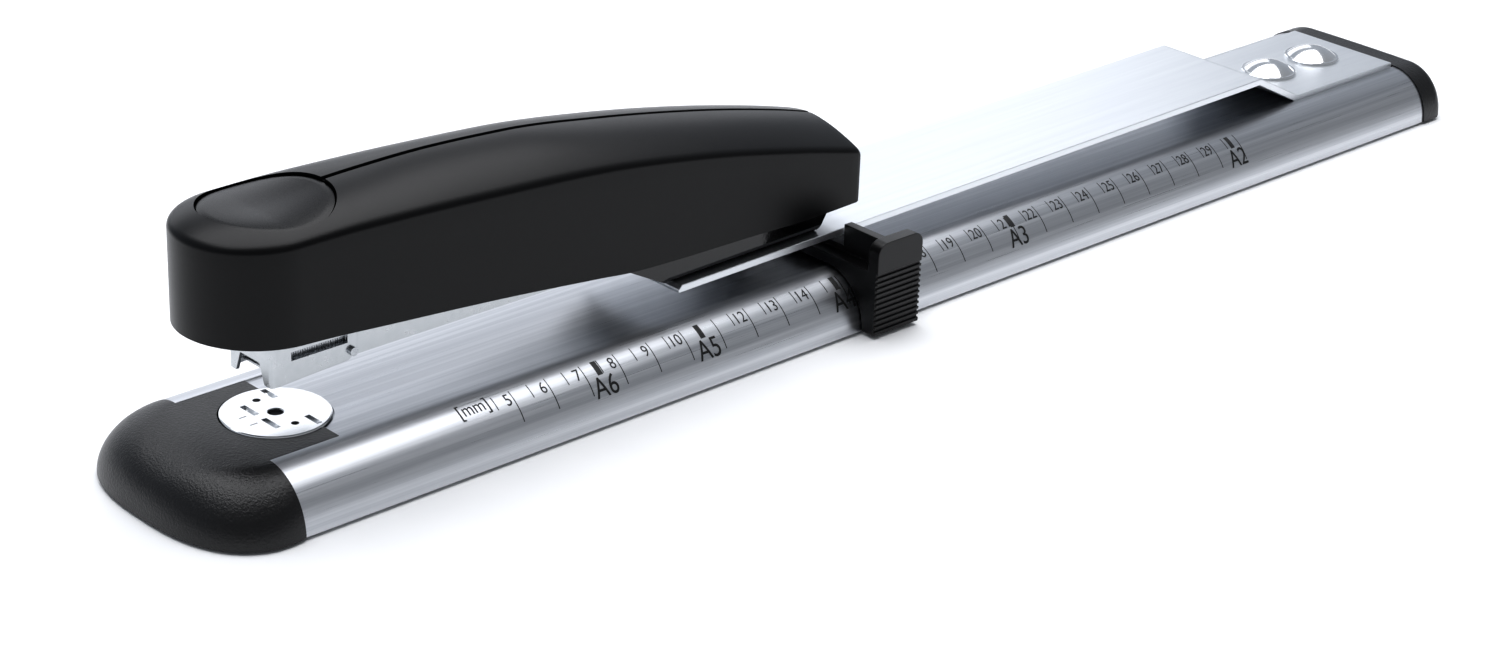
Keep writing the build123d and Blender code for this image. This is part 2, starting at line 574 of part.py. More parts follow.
def guide_pins():
    """Small pins in the guide's rear lower corners."""
    x = guide_rear - GUIDE_PIN_SETBACK
    z = CHANNEL_UNDERSIDE + GUIDE_PIN_RISE
    outer = guide_half_width + GUIDE_PIN_PROUD
    return [bar(x, z, GUIDE_PIN_RADIUS, guide_inner, outer), bar(x, z, GUIDE_PIN_RADIUS, -outer, -guide_inner)]


def staple_core():
    """Inner rail that the staples straddle, slotted on top for the pusher's neck, closed at both ends."""
    front = STRIP_START + CORE_FRONT_MARGIN
    core = block(front, core_rear, -core_half_width, core_half_width, channel_floor, core_top)
    hollow_half = core_half_width - CORE_WALL
    core -= block(front + CORE_END_WALL, core_rear - CORE_END_WALL, -hollow_half, hollow_half,
                  channel_floor, core_top - CORE_WALL)
    core -= block(strip_end - CORE_SLOT_LEAD, core_rear - CORE_SLOT_MARGIN, -CORE_SLOT / 2, CORE_SLOT / 2,
                  core_top - CORE_WALL, core_top)
    return core - rod(ROD_RADIUS + HOLE_GAP)


def rod(radius):
    """Round bar along the core, from the middle of one end wall to the middle of the other."""
    front = STRIP_START + CORE_FRONT_MARGIN + CORE_END_WALL / 2
    rear = core_rear - CORE_END_WALL / 2
    return along(Pos(0, rod_height) * Circle(radius), front, rear)


def staple_strip():
    """Glued strip of staples, astride the core."""
    wide = STAPLE_HALF_WIDTH
    strip = block(STRIP_START, strip_end, -wide, wide, channel_floor + CORE_GAP, crown_top)
    inner = wide - STAPLE_WIRE
    return strip - block(STRIP_START, strip_end, -inner, inner, channel_floor, crown_top - STAPLE_WIRE)


def pusher():
    """Saddle behind the staples, with a neck down through the core's slot and a foot on the rod."""
    rear = strip_end + PUSHER_LENGTH
    wide = STAPLE_HALF_WIDTH - SLIDE_GAP / 2
    inner = core_half_width + SLIDE_GAP
    top = channel_top - CORE_GAP
    saddle = block(strip_end, rear, -wide, wide, channel_floor + CORE_GAP, top)
    saddle -= block(strip_end, rear, -inner, inner, channel_floor, core_top + SLIDE_GAP)
    neck_half = CORE_SLOT / 2 - CORE_GAP
    foot_half = core_half_width - CORE_WALL - CORE_GAP
    foot_top = core_top - CORE_WALL - CORE_GAP
    foot = block(strip_end, rear, -foot_half, foot_half, channel_floor + CORE_GAP, foot_top)
    neck = block(strip_end, rear, -neck_half, neck_half, foot_top, top)
    return saddle + neck + foot - rod(ROD_RADIUS + RUNNING_GAP)


def pusher_spring():
    """Long coil on the rod, between the pusher and the core's rear wall."""
    front = strip_end + PUSHER_LENGTH
    length = core_rear - CORE_END_WALL - front
    spring = coil(PUSHER_COIL_RADIUS, SPRING_WIRE, length, PUSHER_COIL_TURNS)
    return Pos(front, 0, rod_height) * Rot(0, 90, 0) * spring


def leaf(points, thickness, half_width):
    """Flat spring strip that follows (x, z) points."""
    upper = [(x, z + thickness) for x, z in reversed(points)]
    return across(side_face(*points, *upper), -half_width, half_width)


def lift_spring():
    """Leaf on the bracket's base that holds the magazine up off the anvil."""
    rear = HINGE_REACH - BRACKET_RIVET_SETBACKS[1] - BRACKET_RIVET_HEAD_RADIUS - LIFT_SPRING_CLEAR
    front = ARM_FRONT + BRACKET_BASE_SETBACK
    seat = arm_top(rear) + BRACKET_SHEET
    points = [(rear, seat), (rear - LIFT_SPRING_SEAT, seat), (front, CHANNEL_UNDERSIDE - LIFT_SPRING_SHEET)]
    return leaf(points, LIFT_SPRING_SHEET, LIFT_SPRING_HALF_WIDTH)


def handle_spring():
    """Leaf under the lever that holds the handle up off the magazine."""
    rear = HINGE_REACH - HANDLE_SPRING_SETBACK
    bend = rear - HANDLE_SPRING_CLAMP
    tip = HANDLE_SPRING_TIP * rear
    points = [(rear, lever_top(rear) - LEVER_SHEET - SHEET), (bend, lever_top(bend) - LEVER_SHEET - SHEET),
              (tip + HANDLE_SPRING_REST, channel_top), (tip, channel_top)]
    return leaf(points, SHEET, channel_half_width)


def handle_frame():
    """Steel lever: a channel open downwards, with ears about the hinge pin and a tab for the blade."""
    front = BLADE_FRONT + BLADE_THICKNESS
    bend = HINGE_REACH - LEVER_MIDDLE_MARGIN
    rear = HINGE_REACH + LEVER_REAR
    top = [(front, lever_top(front)), (bend, lever_top(bend)), (rear, lever_top(rear))]
    ear_low = HINGE_RISE - EAR_RADIUS - LEVER_EAR_MARGIN
    side = side_face(*top, (rear, ear_low), (HINGE_REACH - 2 * EAR_RADIUS, ear_low),
                     (bend, HINGE_RISE), (HINGE_REACH * LEVER_SIDE_BEND, HINGE_RISE + LEVER_SIDE_RISE),
                     (front, lever_top(front) - LEVER_FRONT_DEPTH))
    skin = [(x, z - LEVER_SHEET) for x, z in reversed(top)]
    lever = both_sides(side, lever_inner, lever_half_width)
    lever += across(side_face(*top, *skin), -lever_half_width, lever_half_width)
    tab_low = lever_top(front) - LEVER_SHEET - LEVER_TAB_DROP
    lever += block(front, front + LEVER_SHEET, -lever_half_width, lever_half_width,
                   tab_low, lever_top(front + LEVER_SHEET) - LEVER_SHEET / 2)
    hole = HINGE_PIN_RADIUS + RUNNING_GAP
    return lever - bar(HINGE_REACH, HINGE_RISE, hole, -lever_half_width, lever_half_width)


def driver_blade():
    """Thin plate on the lever's front tab that pushes the first staple down."""
    wide = STAPLE_HALF_WIDTH - SLIDE_GAP
    low = crown_top + BLADE_TIP_RISE
    return block(BLADE_FRONT, BLADE_FRONT + BLADE_THICKNESS, -wide, wide, low, LEVER_TOP_FRONT - BLADE_TOP_DROP)


def cover_skin(inset):
    """The cover's shape set in by a wall: sections joined along the length, and a round front in plan."""
    wide = cover_half_width - inset
    sections = []
    for share in COVER_STATIONS:
        low = at(COVER_EDGE, share) - (OVERRUN if inset else 0)
        crease = at(COVER_CREASE, share) - inset
        ridge = at(COVER_RIDGE, share) - inset
        outline = Polyline((-wide, low), (-wide, crease), (0, ridge), (wide, crease), (wide, low), close=True)
        sections.append(Plane.YZ.offset(share * HINGE_REACH) * make_face(outline))
    body = loft(sections, ruled=True)
    nose = -COVER_NOSE + cover_half_width
    front = Pos(nose, 0) * Circle(wide)
    back = Pos((nose + cover_rear - inset) / 2, 0) * Rectangle(cover_rear - inset - nose, 2 * wide)
    return body & extrude(front + back, cover_high)


def rib(x):
    """Cross wall inside the cover that stands on the lever."""
    half = COVER_RIB_THICKNESS / 2
    outline = side_face((x - half, lever_top(x - half)), (x + half, lever_top(x + half)),
                        (x + half, cover_high), (x - half, cover_high))
    return across(outline, -lever_half_width, lever_half_width) & cover_skin(COVER_WALL / 2)


def handle_cap():
    """Moulded cover over the lever, with a round seat for the thumb pad."""
    outer = cover_skin(0)
    seat_low = PAD_SEAT - PAD_SEAT_FLOOR
    seat = post(PAD_SETBACK, 0, PAD_RADIUS + PAD_GAP + PAD_SEAT_WALL, seat_low, cover_high) & outer
    cap = outer - cover_skin(COVER_WALL) + seat
    cap -= post(PAD_SETBACK, 0, PAD_RADIUS + PAD_GAP, PAD_SEAT, cover_high)
    for x in COVER_RIBS:
        cap += rib(x)
    return cap


def thumb_pad():
    """Round pad where the hand presses, level with the cover."""
    return post(PAD_SETBACK, 0, PAD_RADIUS, PAD_SEAT, cover_high) & cover_skin(0)


def stop_slider():
    """Depth stop: a bridge astride the rail and under the arm, a wall for the paper, two ribbed grips."""
    inner_half = RAIL_HALF_WIDTH + STOP_GAP
    outer_half = inner_half + STOP_GRIP_THICKNESS + CAP_LIP
    front = STOP_READING
    rear = front + STOP_LENGTH
    base = rail_base + STOP_GRIP_CLEAR
    side_low = max(arm_half_width, cover_half_width) + STOP_SIDE_GAP
    bridge = block(front, rear, -outer_half, outer_half, base, STOP_BRIDGE_TOP)
    wall_front = front + STOP_WALL_SETBACK
    wall_rear = wall_front + STOP_WALL_THICKNESS
    bridge += block(wall_front, wall_rear, -side_low, side_low, 0, STOP_LOW_WALL_TOP)
    grip = fillet(Rectangle(STOP_LENGTH, 2 * STOP_GRIP_TOP).vertices(), STOP_GRIP_CORNER)
    upper_half = Pos((front + rear) / 2, STOP_GRIP_TOP) * Rectangle(STOP_LENGTH, 2 * STOP_GRIP_TOP)
    plate = Pos((front + rear) / 2, 0) * grip & upper_half
    for side in (-1, 1):
        low, high = sorted((side * side_low, side * outer_half))
        bridge += block(wall_front, wall_rear, low, high, 0, STOP_WALL_TOP)
        low, high = sorted((side * (outer_half - STOP_GRIP_THICKNESS), side * outer_half))
        bridge += across(plate, low, high)
        for number in range(STOP_GRIP_RIBS):
            z = base + STOP_RIB_PITCH * (number + 1)
            bridge -= block(front, rear, side * outer_half - STOP_RIB_DEPTH, side * outer_half + STOP_RIB_DEPTH,
                            z - STOP_RIB_PITCH / 4, z + STOP_RIB_PITCH / 4)
    bridge -= along(rail_section(-STOP_GAP, STOP_GAP), front, rear)
    bridge -= block(front, rear, -inner_half, inner_half, rail_base - OVERRUN, rail_base + STOP_GRIP_CLEAR)
    middle = (front + rear) / 2
    half = STOP_SPRING_WIDTH / 2 + STOP_GAP
    span = STOP_SPRING_HALF_SPAN + STOP_GAP
    return bridge - block(middle - half, middle + half, -span, span, -OVERRUN, STOP_GAP + STOP_SPRING_POCKET)


def stop_spring():
    """Bowed leaf in the bridge's pocket that rubs on the rail and keeps the stop where it is put."""
    middle = STOP_READING + STOP_LENGTH / 2
    top = STOP_GAP + STOP_SPRING_POCKET
    low = strip_level + HOLE_GAP
    span = STOP_SPRING_HALF_SPAN
    foot = top - STOP_SPRING_SHEET
    lower = ThreePointArc((-span, foot), (0, low), (span, foot))
    right = Line((span, foot), (span, top))
    upper = ThreePointArc((span, top), (0, low + STOP_SPRING_SHEET), (-span, top))
    left = Line((-span, top), (-span, foot))
    half = STOP_SPRING_WIDTH / 2
    return along(make_face([lower, right, upper, left]), middle - half, middle + half)


PIECES = {
    "base_rail": base_rail,
    "front_end_cap": front_end_cap,
    "rear_end_cap": rear_end_cap,
    "feet": feet,
    "anvil_plate": anvil_plate,
    "anvil_stem": anvil_stem,
    "anvil_spring": anvil_spring,
    "arm_plate": arm_plate,
    "arm_rivets": arm_rivets,
    "rivet_washers": rivet_washers,
    "hinge_bracket": hinge_bracket,
    "bracket_rivets": bracket_rivets,
    "hinge_pin": hinge_pin,
    "pin_clips": pin_clips,
    "lift_spring": lift_spring,
    "magazine_channel": magazine_channel,
    "nose_guide": nose_guide,
    "guide_pins": guide_pins,
    "staple_core": staple_core,
    "pusher_rod": lambda: rod(ROD_RADIUS),
    "pusher_spring": pusher_spring,
    "pusher": pusher,
    "staple_strip": staple_strip,
    "handle_frame": handle_frame,
    "handle_spring": handle_spring,
    "driver_blade": driver_blade,
    "handle_cap": handle_cap,
    "thumb_pad": thumb_pad,
    "stop_slider": stop_slider,
    "stop_spring": stop_spring,
}

os.makedirs("parts", exist_ok=True)
for name, build in PIECES.items():
    made = build()
    solids = made if isinstance(made, list) else [made]
    placed = [place * solid for solid in solids]
    shape = placed[0] if len(placed) == 1 else Compound(children=placed)
    export_step(shape, f"parts/{name}.step")
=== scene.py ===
import logging
import math
from collections.abc import Callable, Iterable, Sequence
from dataclasses import dataclass, field
from enum import Enum
from functools import cache, cached_property

import bmesh
import bpy
from mathutils import Matrix, Vector


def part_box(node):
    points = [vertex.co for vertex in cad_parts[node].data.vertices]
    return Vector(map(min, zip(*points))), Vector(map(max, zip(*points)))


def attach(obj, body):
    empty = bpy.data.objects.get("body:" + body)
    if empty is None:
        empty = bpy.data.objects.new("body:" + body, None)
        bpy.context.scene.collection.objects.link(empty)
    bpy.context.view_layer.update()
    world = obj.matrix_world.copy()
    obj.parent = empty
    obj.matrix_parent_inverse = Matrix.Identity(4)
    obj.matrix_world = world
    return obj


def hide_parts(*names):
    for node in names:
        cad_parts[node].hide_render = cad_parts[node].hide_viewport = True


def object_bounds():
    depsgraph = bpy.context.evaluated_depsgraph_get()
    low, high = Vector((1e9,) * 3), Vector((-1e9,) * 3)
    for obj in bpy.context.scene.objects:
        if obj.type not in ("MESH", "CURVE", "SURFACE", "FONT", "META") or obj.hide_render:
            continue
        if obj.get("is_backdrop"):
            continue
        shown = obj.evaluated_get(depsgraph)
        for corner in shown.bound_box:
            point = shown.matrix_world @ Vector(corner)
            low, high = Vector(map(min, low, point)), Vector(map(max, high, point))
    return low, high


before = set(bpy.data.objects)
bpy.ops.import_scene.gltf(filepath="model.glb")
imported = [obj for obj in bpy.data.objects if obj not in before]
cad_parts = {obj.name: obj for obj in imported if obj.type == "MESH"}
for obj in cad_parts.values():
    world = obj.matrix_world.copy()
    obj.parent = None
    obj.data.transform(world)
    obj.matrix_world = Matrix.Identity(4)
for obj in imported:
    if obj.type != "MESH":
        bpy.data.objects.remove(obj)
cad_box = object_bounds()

# Long-arm stapler. Pieces are drawn in millimetres in the stapler's own directions: x = 0 on the staple line and
# +X towards the rear, y = 0 on the centre plane, z = 0 on the rail's crests. Bench moves them into the frame.

LOG = logging.getLogger("stapler")
MM = 0.001
STAPLE_INSET = 9.8               # rail's front end to the staple line, in mm
OVERRUN = 1.0                    # how far a cutter reaches past what it cuts, in mm

Spot = tuple[float, float]
Point = tuple[float, float, float]
Colour = tuple[float, float, float, float]


class Body(Enum):
    """The moving bodies of the frame."""

    BASE = "base"
    STEM = "stem"
    ANVIL = "anvil"
    MAGAZINE = "magazine"
    PUSHER = "pusher"
    HANDLE = "handle"
    STOP = "stop"


class Slot(Enum):
    """Names of the material slots that the new pieces are set down with."""

    RAIL = "rail"
    GRAINED_PLASTIC = "grained_plastic"
    ANVIL_CHROME = "anvil_chrome"
    ARM_STEEL = "arm_steel"
    RIVET_CHROME = "rivet_chrome"
    BRACKET_BLACK = "bracket_black"
    MAGAZINE_NICKEL = "magazine_nickel"
    PUSHER_BLACK = "pusher_black"
    STAPLE_WIRE = "staple_wire"
    LEVER_STEEL = "lever_steel"
    COVER_PLASTIC = "cover_plastic"
    PAD_PLASTIC = "pad_plastic"
    STOP_PLASTIC = "stop_plastic"


class Axis(Enum):
    """A direction of the stapler, as the place of its coordinate in a point."""

    X = 0
    Y = 1
    Z = 2


class Join(Enum):
    """How one draft is combined with another."""

    CUT = "DIFFERENCE"
    COMMON = "INTERSECT"
    FUSE = "UNION"


# ---------------------------------------------------------------- numbers and colours
def linear(code: str) -> Colour:
    """Turns an sRGB hex colour into linear light.

    Args:
        code: Six hex digits, with or without a leading hash.

    Returns:
        Red, green, blue and an alpha of one.
    """
    digits = code.lstrip("#")
    shades = [int(digits[i:i + 2], 16) / 255 for i in (0, 2, 4)]
    red, green, blue = (s / 12.92 if s <= 0.04045 else ((s + 0.055) / 1.055) ** 2.4 for s in shades)
    return red, green, blue, 1.0


def steps(low: float, high: float, count: int) -> list[float]:
    """Gives evenly spaced values.

    Args:
        low: First value.
        high: Last value.
        count: Number of gaps between them.

    Returns:
        count + 1 values, both ends included.
    """
    return [low + (high - low) * i / count for i in range(count + 1)]


def rounded(points: Sequence[Spot], radius: float, gaps: int = 6) -> list[Spot]:
    """Rounds the inner corners of an open line.

    Args:
        points: Corners of the line.
        radius: Radius of the rounding.
        gaps: Number of short runs round each corner.

    Returns:
        The line with each inner corner replaced by a curve.
    """
    line: list[Spot] = [points[0]]
    for before, corner, after in zip(points, points[1:], points[2:]):
        here = Vector(corner)
        to_before = (Vector(before) - here).normalized()
        to_after = (Vector(after) - here).normalized()
        half_angle = to_before.angle(to_after) / 2
        reach = radius / math.tan(half_angle)
        for t in steps(0, 1, gaps):
            spot = here + to_before * reach * (1 - t) ** 2 + to_after * reach * t ** 2
            line.append((spot.x, spot.y))
    line.append(points[-1])
    return line


def ribbon(line: Sequence[Spot], thickness: float) -> list[Spot]:
    """Gives a line a thickness on its right-hand side.

    Args:
        line: Points of one face of the sheet.
        thickness: Distance to the other face.

    Returns:
        Closed outline of the sheet seen on edge.
    """
    other: list[Spot] = []
    for i, spot in enumerate(line):
        ahead = Vector(line[min(i + 1, len(line) - 1)]) - Vector(line[max(i - 1, 0)])
        ahead.normalize()
        other.append((spot[0] + ahead.y * thickness, spot[1] - ahead.x * thickness))
    return list(line) + other[::-1]


@dataclass(frozen=True)
class Profile:
    """A smooth line through measured points that never swings past them."""

    points: tuple[Spot, ...]

    @cached_property
    def slopes(self) -> list[float]:
        """Slope at each point, level wherever the line would otherwise overshoot."""
        rises = [(b[1] - a[1]) / (b[0] - a[0]) for a, b in zip(self.points, self.points[1:])]
        inner = [0.0 if a * b <= 0 else 2 * a * b / (a + b) for a, b in zip(rises, rises[1:])]
        return [rises[0], *inner, rises[-1]]

    def at(self, along: float) -> float:
        """Height of the line.

        Args:
            along: Place along the line; places past an end take the height of the end.

        Returns:
            Height there.
        """
        first, last = self.points[0][0], self.points[-1][0]
        along = min(max(along, first), last)
        slopes = self.slopes
        for i, ((x0, z0), (x1, z1)) in enumerate(zip(self.points, self.points[1:])):
            if along <= x1:
                run = x1 - x0
                t = (along - x0) / run
                from_start = (1 + 2 * t) * (1 - t) ** 2 * z0 + t * (1 - t) ** 2 * run * slopes[i]
                from_end = t * t * (3 - 2 * t) * z1 + t * t * (t - 1) * run * slopes[i + 1]
                return from_start + from_end
        return self.points[-1][1]


@dataclass(frozen=True)
class OvalSide:
    """The rail's shoulders: a quarter oval on each side, from the crest down to the floor."""

    crest_half: float
    reach: float
    rise: float

    def spot(self, turn: float, proud: float = 0.0) -> Spot:
        """A place on the right-hand shoulder.

        Args:
            turn: 0 at the crest, a quarter turn (in radians) at the floor.
            proud: Distance outside the surface.

        Returns:
            Its (y, z).
        """
        y = self.crest_half + self.reach * math.sin(turn)
        z = -self.rise + self.rise * math.cos(turn)
        normal = Vector((math.sin(turn) / self.reach, math.cos(turn) / self.rise)).normalized()
        return y + normal.x * proud, z + normal.y * proud

    @cache
    def turn_at(self, distance: float) -> float:
        """Finds a place by its distance down the slope.

        Args:
            distance: Distance from the crest.

        Returns:
            The turn there.
        """
        walked, turn, stride = 0.0, 0.0, math.radians(0.25)
        here = Vector(self.spot(turn))
        while turn < math.pi / 2:
            ahead = Vector(self.spot(turn + stride))
            run = (ahead - here).length
            if walked + run >= distance:
                return turn + stride * (distance - walked) / run
            walked, turn, here = walked + run, turn + stride, ahead
        return turn

    def across(self, proud: float = 0.0, gaps: int = 28) -> list[Spot]:
        """Draws the whole upper outline.

        Args:
            proud: Distance outside the surface.
            gaps: Number of short runs on each shoulder.

        Returns:
            (y, z) points from the floor on the left to the floor on the right.
        """
        right = [self.spot(turn, proud) for turn in steps(0, math.pi / 2, gaps)]
        return [(-y, z) for y, z in reversed(right)] + right


# ---------------------------------------------------------------- finishes
def add(tree: bpy.types.NodeTree, kind: str, inputs: dict[str | int, object] | None = None,
        links: dict[str | int, bpy.types.NodeSocket] | None = None, **settings: object) -> bpy.types.Node:
    """Adds a node with its settings and links.

    Args:
        tree: Node tree of a material or of the world.
        kind: Node type without its "ShaderNode" prefix.
        inputs: Values of its inputs, by name or number.
        links: Output sockets that feed its inputs, by name or number.
        **settings: The node's own properties.

    Returns:
        The new node.
    """
    node = tree.nodes.new("ShaderNode" + kind)
    for key, value in settings.items():
        setattr(node, key, value)
    for key, value in (inputs or {}).items():
        node.inputs[key].default_value = value
    for key, source in (links or {}).items():
        tree.links.new(source, node.inputs[key])
    return node


class Finish:
    """What a surface is made of. Each finish makes its material once and hands the same one out."""

    name: str

    def shade(self, tree: bpy.types.NodeTree) -> bpy.types.Node:
        """Builds the shader.

        Args:
            tree: Nodes of the material.

        Returns:
            The shader node.
        """
        raise NotImplementedError

    def material(self) -> bpy.types.Material:
        """The finish as a material."""
        made = bpy.data.materials.get(self.name)
        if made is None:
            made = bpy.data.materials.new(self.name)
            made.use_nodes = True
            made.node_tree.nodes.clear()
            shader = self.shade(made.node_tree)
            add(made.node_tree, "OutputMaterial", links={"Surface": shader.outputs[0]})
        return made


@dataclass(frozen=True)
class BrushedMetal(Finish):
    """Metal drawn, rolled or brushed along the stapler: fine parallel streaks that smear its reflections."""

    name: str
    light: str
    dark: str
    roughness: float
    roughness_swing: float
    streak_mm: float
    run_mm: float
    depth_mm: float
    anisotropy: float

    def shade(self, tree: bpy.types.NodeTree) -> bpy.types.Node:
        """Streaks along X in tone, roughness and relief.

        Args:
            tree: Nodes of the material.

        Returns:
            The shader node.
        """
        place = add(tree, "TexCoord")
        thin = 1 / (self.streak_mm * MM)
        run = 1 / (self.run_mm * MM)
        drawn = add(tree, "Mapping", {"Scale": (run, thin, thin)}, {"Vector": place.outputs["Object"]})
        fine = add(tree, "TexNoise", {"Scale": 1.0, "Detail": 3.0, "Roughness": 0.65}, {"Vector": drawn.outputs[0]})
        # Die lines: a few broader, longer bands that the drawing or rolling leaves between the fine streaks.
        wide = add(tree, "Mapping", {"Scale": (run / 6, thin / 5, thin / 5)}, {"Vector": place.outputs["Object"]})
        bands = add(tree, "TexNoise", {"Scale": 1.0, "Detail": 2.0, "Roughness": 0.5}, {"Vector": wide.outputs[0]})
        both = add(tree, "Math", {1: 0.6}, {0: fine.outputs["Fac"], 2: bands.outputs["Fac"]},
                   operation="MULTIPLY_ADD")
        share = add(tree, "MapRange", {"From Min": 0.55, "From Max": 1.05}, {"Value": both.outputs[0]})
        tone = add(tree, "Mix", {6: linear(self.dark), 7: linear(self.light)}, {0: share.outputs[0]},
                   data_type="RGBA")
        rough = add(tree, "MapRange", {"From Min": 0.3, "From Max": 0.7,
                                       "To Min": self.roughness - self.roughness_swing,
                                       "To Max": self.roughness + self.roughness_swing},
                    {"Value": fine.outputs["Fac"]})
        relief = add(tree, "Bump", {"Strength": 1.0, "Distance": self.depth_mm * MM},
                     {"Height": both.outputs[0]})
        grain = add(tree, "Tangent", direction_type="RADIAL", axis="X")
        return add(tree, "BsdfPrincipled", {"Metallic": 1.0, "Anisotropic": self.anisotropy},
                   {"Base Color": tone.outputs[2], "Roughness": rough.outputs[0], "Normal": relief.outputs[0],
                    "Tangent": grain.outputs[0]})


@dataclass(frozen=True)
class PlatedMetal(Finish):
    """Nickel, chrome or bright steel: a smooth plated skin with faint handling marks in its gloss."""

    name: str
    light: str
    dark: str
    roughness: float
    roughness_swing: float
    mark_mm: float
    depth_mm: float

    def shade(self, tree: bpy.types.NodeTree) -> bpy.types.Node:
        """Cloudy gloss and a very shallow waviness.

        Args:
            tree: Nodes of the material.

        Returns:
            The shader node.
        """
        place = add(tree, "TexCoord")
        marks = add(tree, "TexNoise", {"Scale": 1 / (self.mark_mm * MM), "Detail": 4.0, "Roughness": 0.6},
                    {"Vector": place.outputs["Object"]})
        share = add(tree, "MapRange", {"From Min": 0.3, "From Max": 0.7}, {"Value": marks.outputs["Fac"]})
        tone = add(tree, "Mix", {6: linear(self.dark), 7: linear(self.light)}, {0: share.outputs[0]},
                   data_type="RGBA")
        rough = add(tree, "MapRange", {"From Min": 0.3, "From Max": 0.7,
                                       "To Min": self.roughness - self.roughness_swing,
                                       "To Max": self.roughness + self.roughness_swing},
                    {"Value": marks.outputs["Fac"]})
        relief = add(tree, "Bump", {"Strength": 1.0, "Distance": self.depth_mm * MM},
                     {"Height": marks.outputs["Fac"]})
        return add(tree, "BsdfPrincipled", {"Metallic": 1.0},
                   {"Base Color": tone.outputs[2], "Roughness": rough.outputs[0], "Normal": relief.outputs[0]})


@dataclass(frozen=True)
class MouldedPlastic(Finish):
    """Moulded plastic or rubber that took the eroded grain of its mould."""

    name: str
    light: str
    dark: str
    roughness: float
    grain_mm: float
    depth_mm: float
    shine: float
    ior: float = 1.53

    def shade(self, tree: bpy.types.NodeTree) -> bpy.types.Node:
        """Pebbled grain with a finer one on it, and a slightly uneven tone.

        Args:
            tree: Nodes of the material.

        Returns:
            The shader node.
        """
        place = add(tree, "TexCoord")
        pebbles = add(tree, "TexVoronoi", {"Scale": 1 / (self.grain_mm * MM)}, {"Vector": place.outputs["Object"]})
        fine = add(tree, "TexNoise", {"Scale": 2.2 / (self.grain_mm * MM), "Detail": 2.0},
                   {"Vector": place.outputs["Object"]})
        height = add(tree, "Math", {1: 0.7}, {0: pebbles.outputs["Distance"], 2: fine.outputs["Fac"]},
                     operation="MULTIPLY_ADD")
        relief = add(tree, "Bump", {"Strength": 1.0, "Distance": self.depth_mm * MM},
                     {"Height": height.outputs[0]})
        # Flow of the melt: a cloudiness some centimetres wide that keeps the black from looking printed.
        flow = add(tree, "TexNoise", {"Scale": 60.0, "Detail": 3.0}, {"Vector": place.outputs["Object"]})
        tone = add(tree, "Mix", {6: linear(self.dark), 7: linear(self.light)}, {0: flow.outputs["Fac"]},
                   data_type="RGBA")
        rough = add(tree, "MapRange", {"From Min": 0.3, "From Max": 0.7, "To Min": self.roughness - 0.04,
                                       "To Max": self.roughness + 0.04}, {"Value": fine.outputs["Fac"]})
        return add(tree, "BsdfPrincipled", {"IOR": self.ior, "Specular IOR Level": self.shine},
                   {"Base Color": tone.outputs[2], "Roughness": rough.outputs[0], "Normal": relief.outputs[0]})


@dataclass(frozen=True)
class Lacquer(Finish):
    """Thick glossy paint or ink with the soft waviness of a coat that flowed out."""

    name: str
    light: str
    dark: str
    roughness: float
    wave_mm: float
    depth_mm: float
    ior: float = 1.5

    def shade(self, tree: bpy.types.NodeTree) -> bpy.types.Node:
        """Waves of the dried coat in relief and tone.

        Args:
            tree: Nodes of the material.

        Returns:
            The shader node.
        """
        place = add(tree, "TexCoord")
        waves = add(tree, "TexNoise", {"Scale": 1 / (self.wave_mm * MM), "Detail": 2.0},
                    {"Vector": place.outputs["Object"]})
        tone = add(tree, "Mix", {6: linear(self.dark), 7: linear(self.light)}, {0: waves.outputs["Fac"]},
                   data_type="RGBA")
        relief = add(tree, "Bump", {"Strength": 1.0, "Distance": self.depth_mm * MM},
                     {"Height": waves.outputs["Fac"]})
        return add(tree, "BsdfPrincipled", {"IOR": self.ior, "Roughness": self.roughness},
                   {"Base Color": tone.outputs[2], "Normal": relief.outputs[0]})


# Clear-anodised aluminium extrusion, brushed lengthways: cool pale grey with soft streaks. Real brush lines are
# about 0.05 mm wide; these are drawn at 0.3 mm so that they show.
RAIL_ALUMINIUM = BrushedMetal("anodised_aluminium_brushed", "#d3d5d9", "#b6b9be", 0.32, 0.05, 0.3, 60.0, 0.0016, 0.6)
# Rolled steel strip with a satin nickel coat: paler and quieter than the rail.
ARM_STEEL = BrushedMetal("nickel_satin_steel_strip", "#dfe2e5", "#d8dbdf", 0.36, 0.02, 0.35, 12.0, 0.0003, 0.0)
# Hard chrome on the anvil: nearly a mirror, a little blurred by use.
ANVIL_CHROME = PlatedMetal("hard_chrome_anvil", "#f3f4f5", "#eceef0", 0.2, 0.03, 3.0, 0.0002)
# Polished chrome on the domed rivets: a mirror.
RIVET_CHROME = PlatedMetal("polished_chrome_rivet", "#f0f1f2", "#e8eaec", 0.15, 0.02, 4.0, 0.0003)
# Folded sheet with bright nickel: satin faces, bright bends.
MAGAZINE_NICKEL = PlatedMetal("bright_nickel_sheet", "#c3c6c9", "#b4b8bb", 0.24, 0.05, 2.5, 0.0006)
# Zinc-plated cold-rolled steel of the hidden lever and blade: greyer and duller.
LEVER_STEEL = PlatedMetal("zinc_plated_steel", "#b4b8bd", "#a0a5aa", 0.34, 0.06, 2.0, 0.0015)
# Turned steel of the pins, washers, clips and the stem.
SMALL_STEEL = PlatedMetal("turned_steel", "#c4c7cb", "#a2a6ab", 0.28, 0.06, 1.5, 0.003)
# Near-black steel of the anvil's stem, a painted shade: its head makes the dark dot of the shaded centre hole in the
# middle of the disc.
STEM_STEEL_PAINTED_SHADE = PlatedMetal("stem_steel_painted_hole_shade", "#1c1d20", "#101113", 0.4, 0.06, 1.5, 0.002)
# Tempered spring steel: darker, with a faint blue.
SPRING_STEEL = PlatedMetal("tempered_spring_steel", "#8e949d", "#6f757e", 0.3, 0.06, 1.5, 0.003)
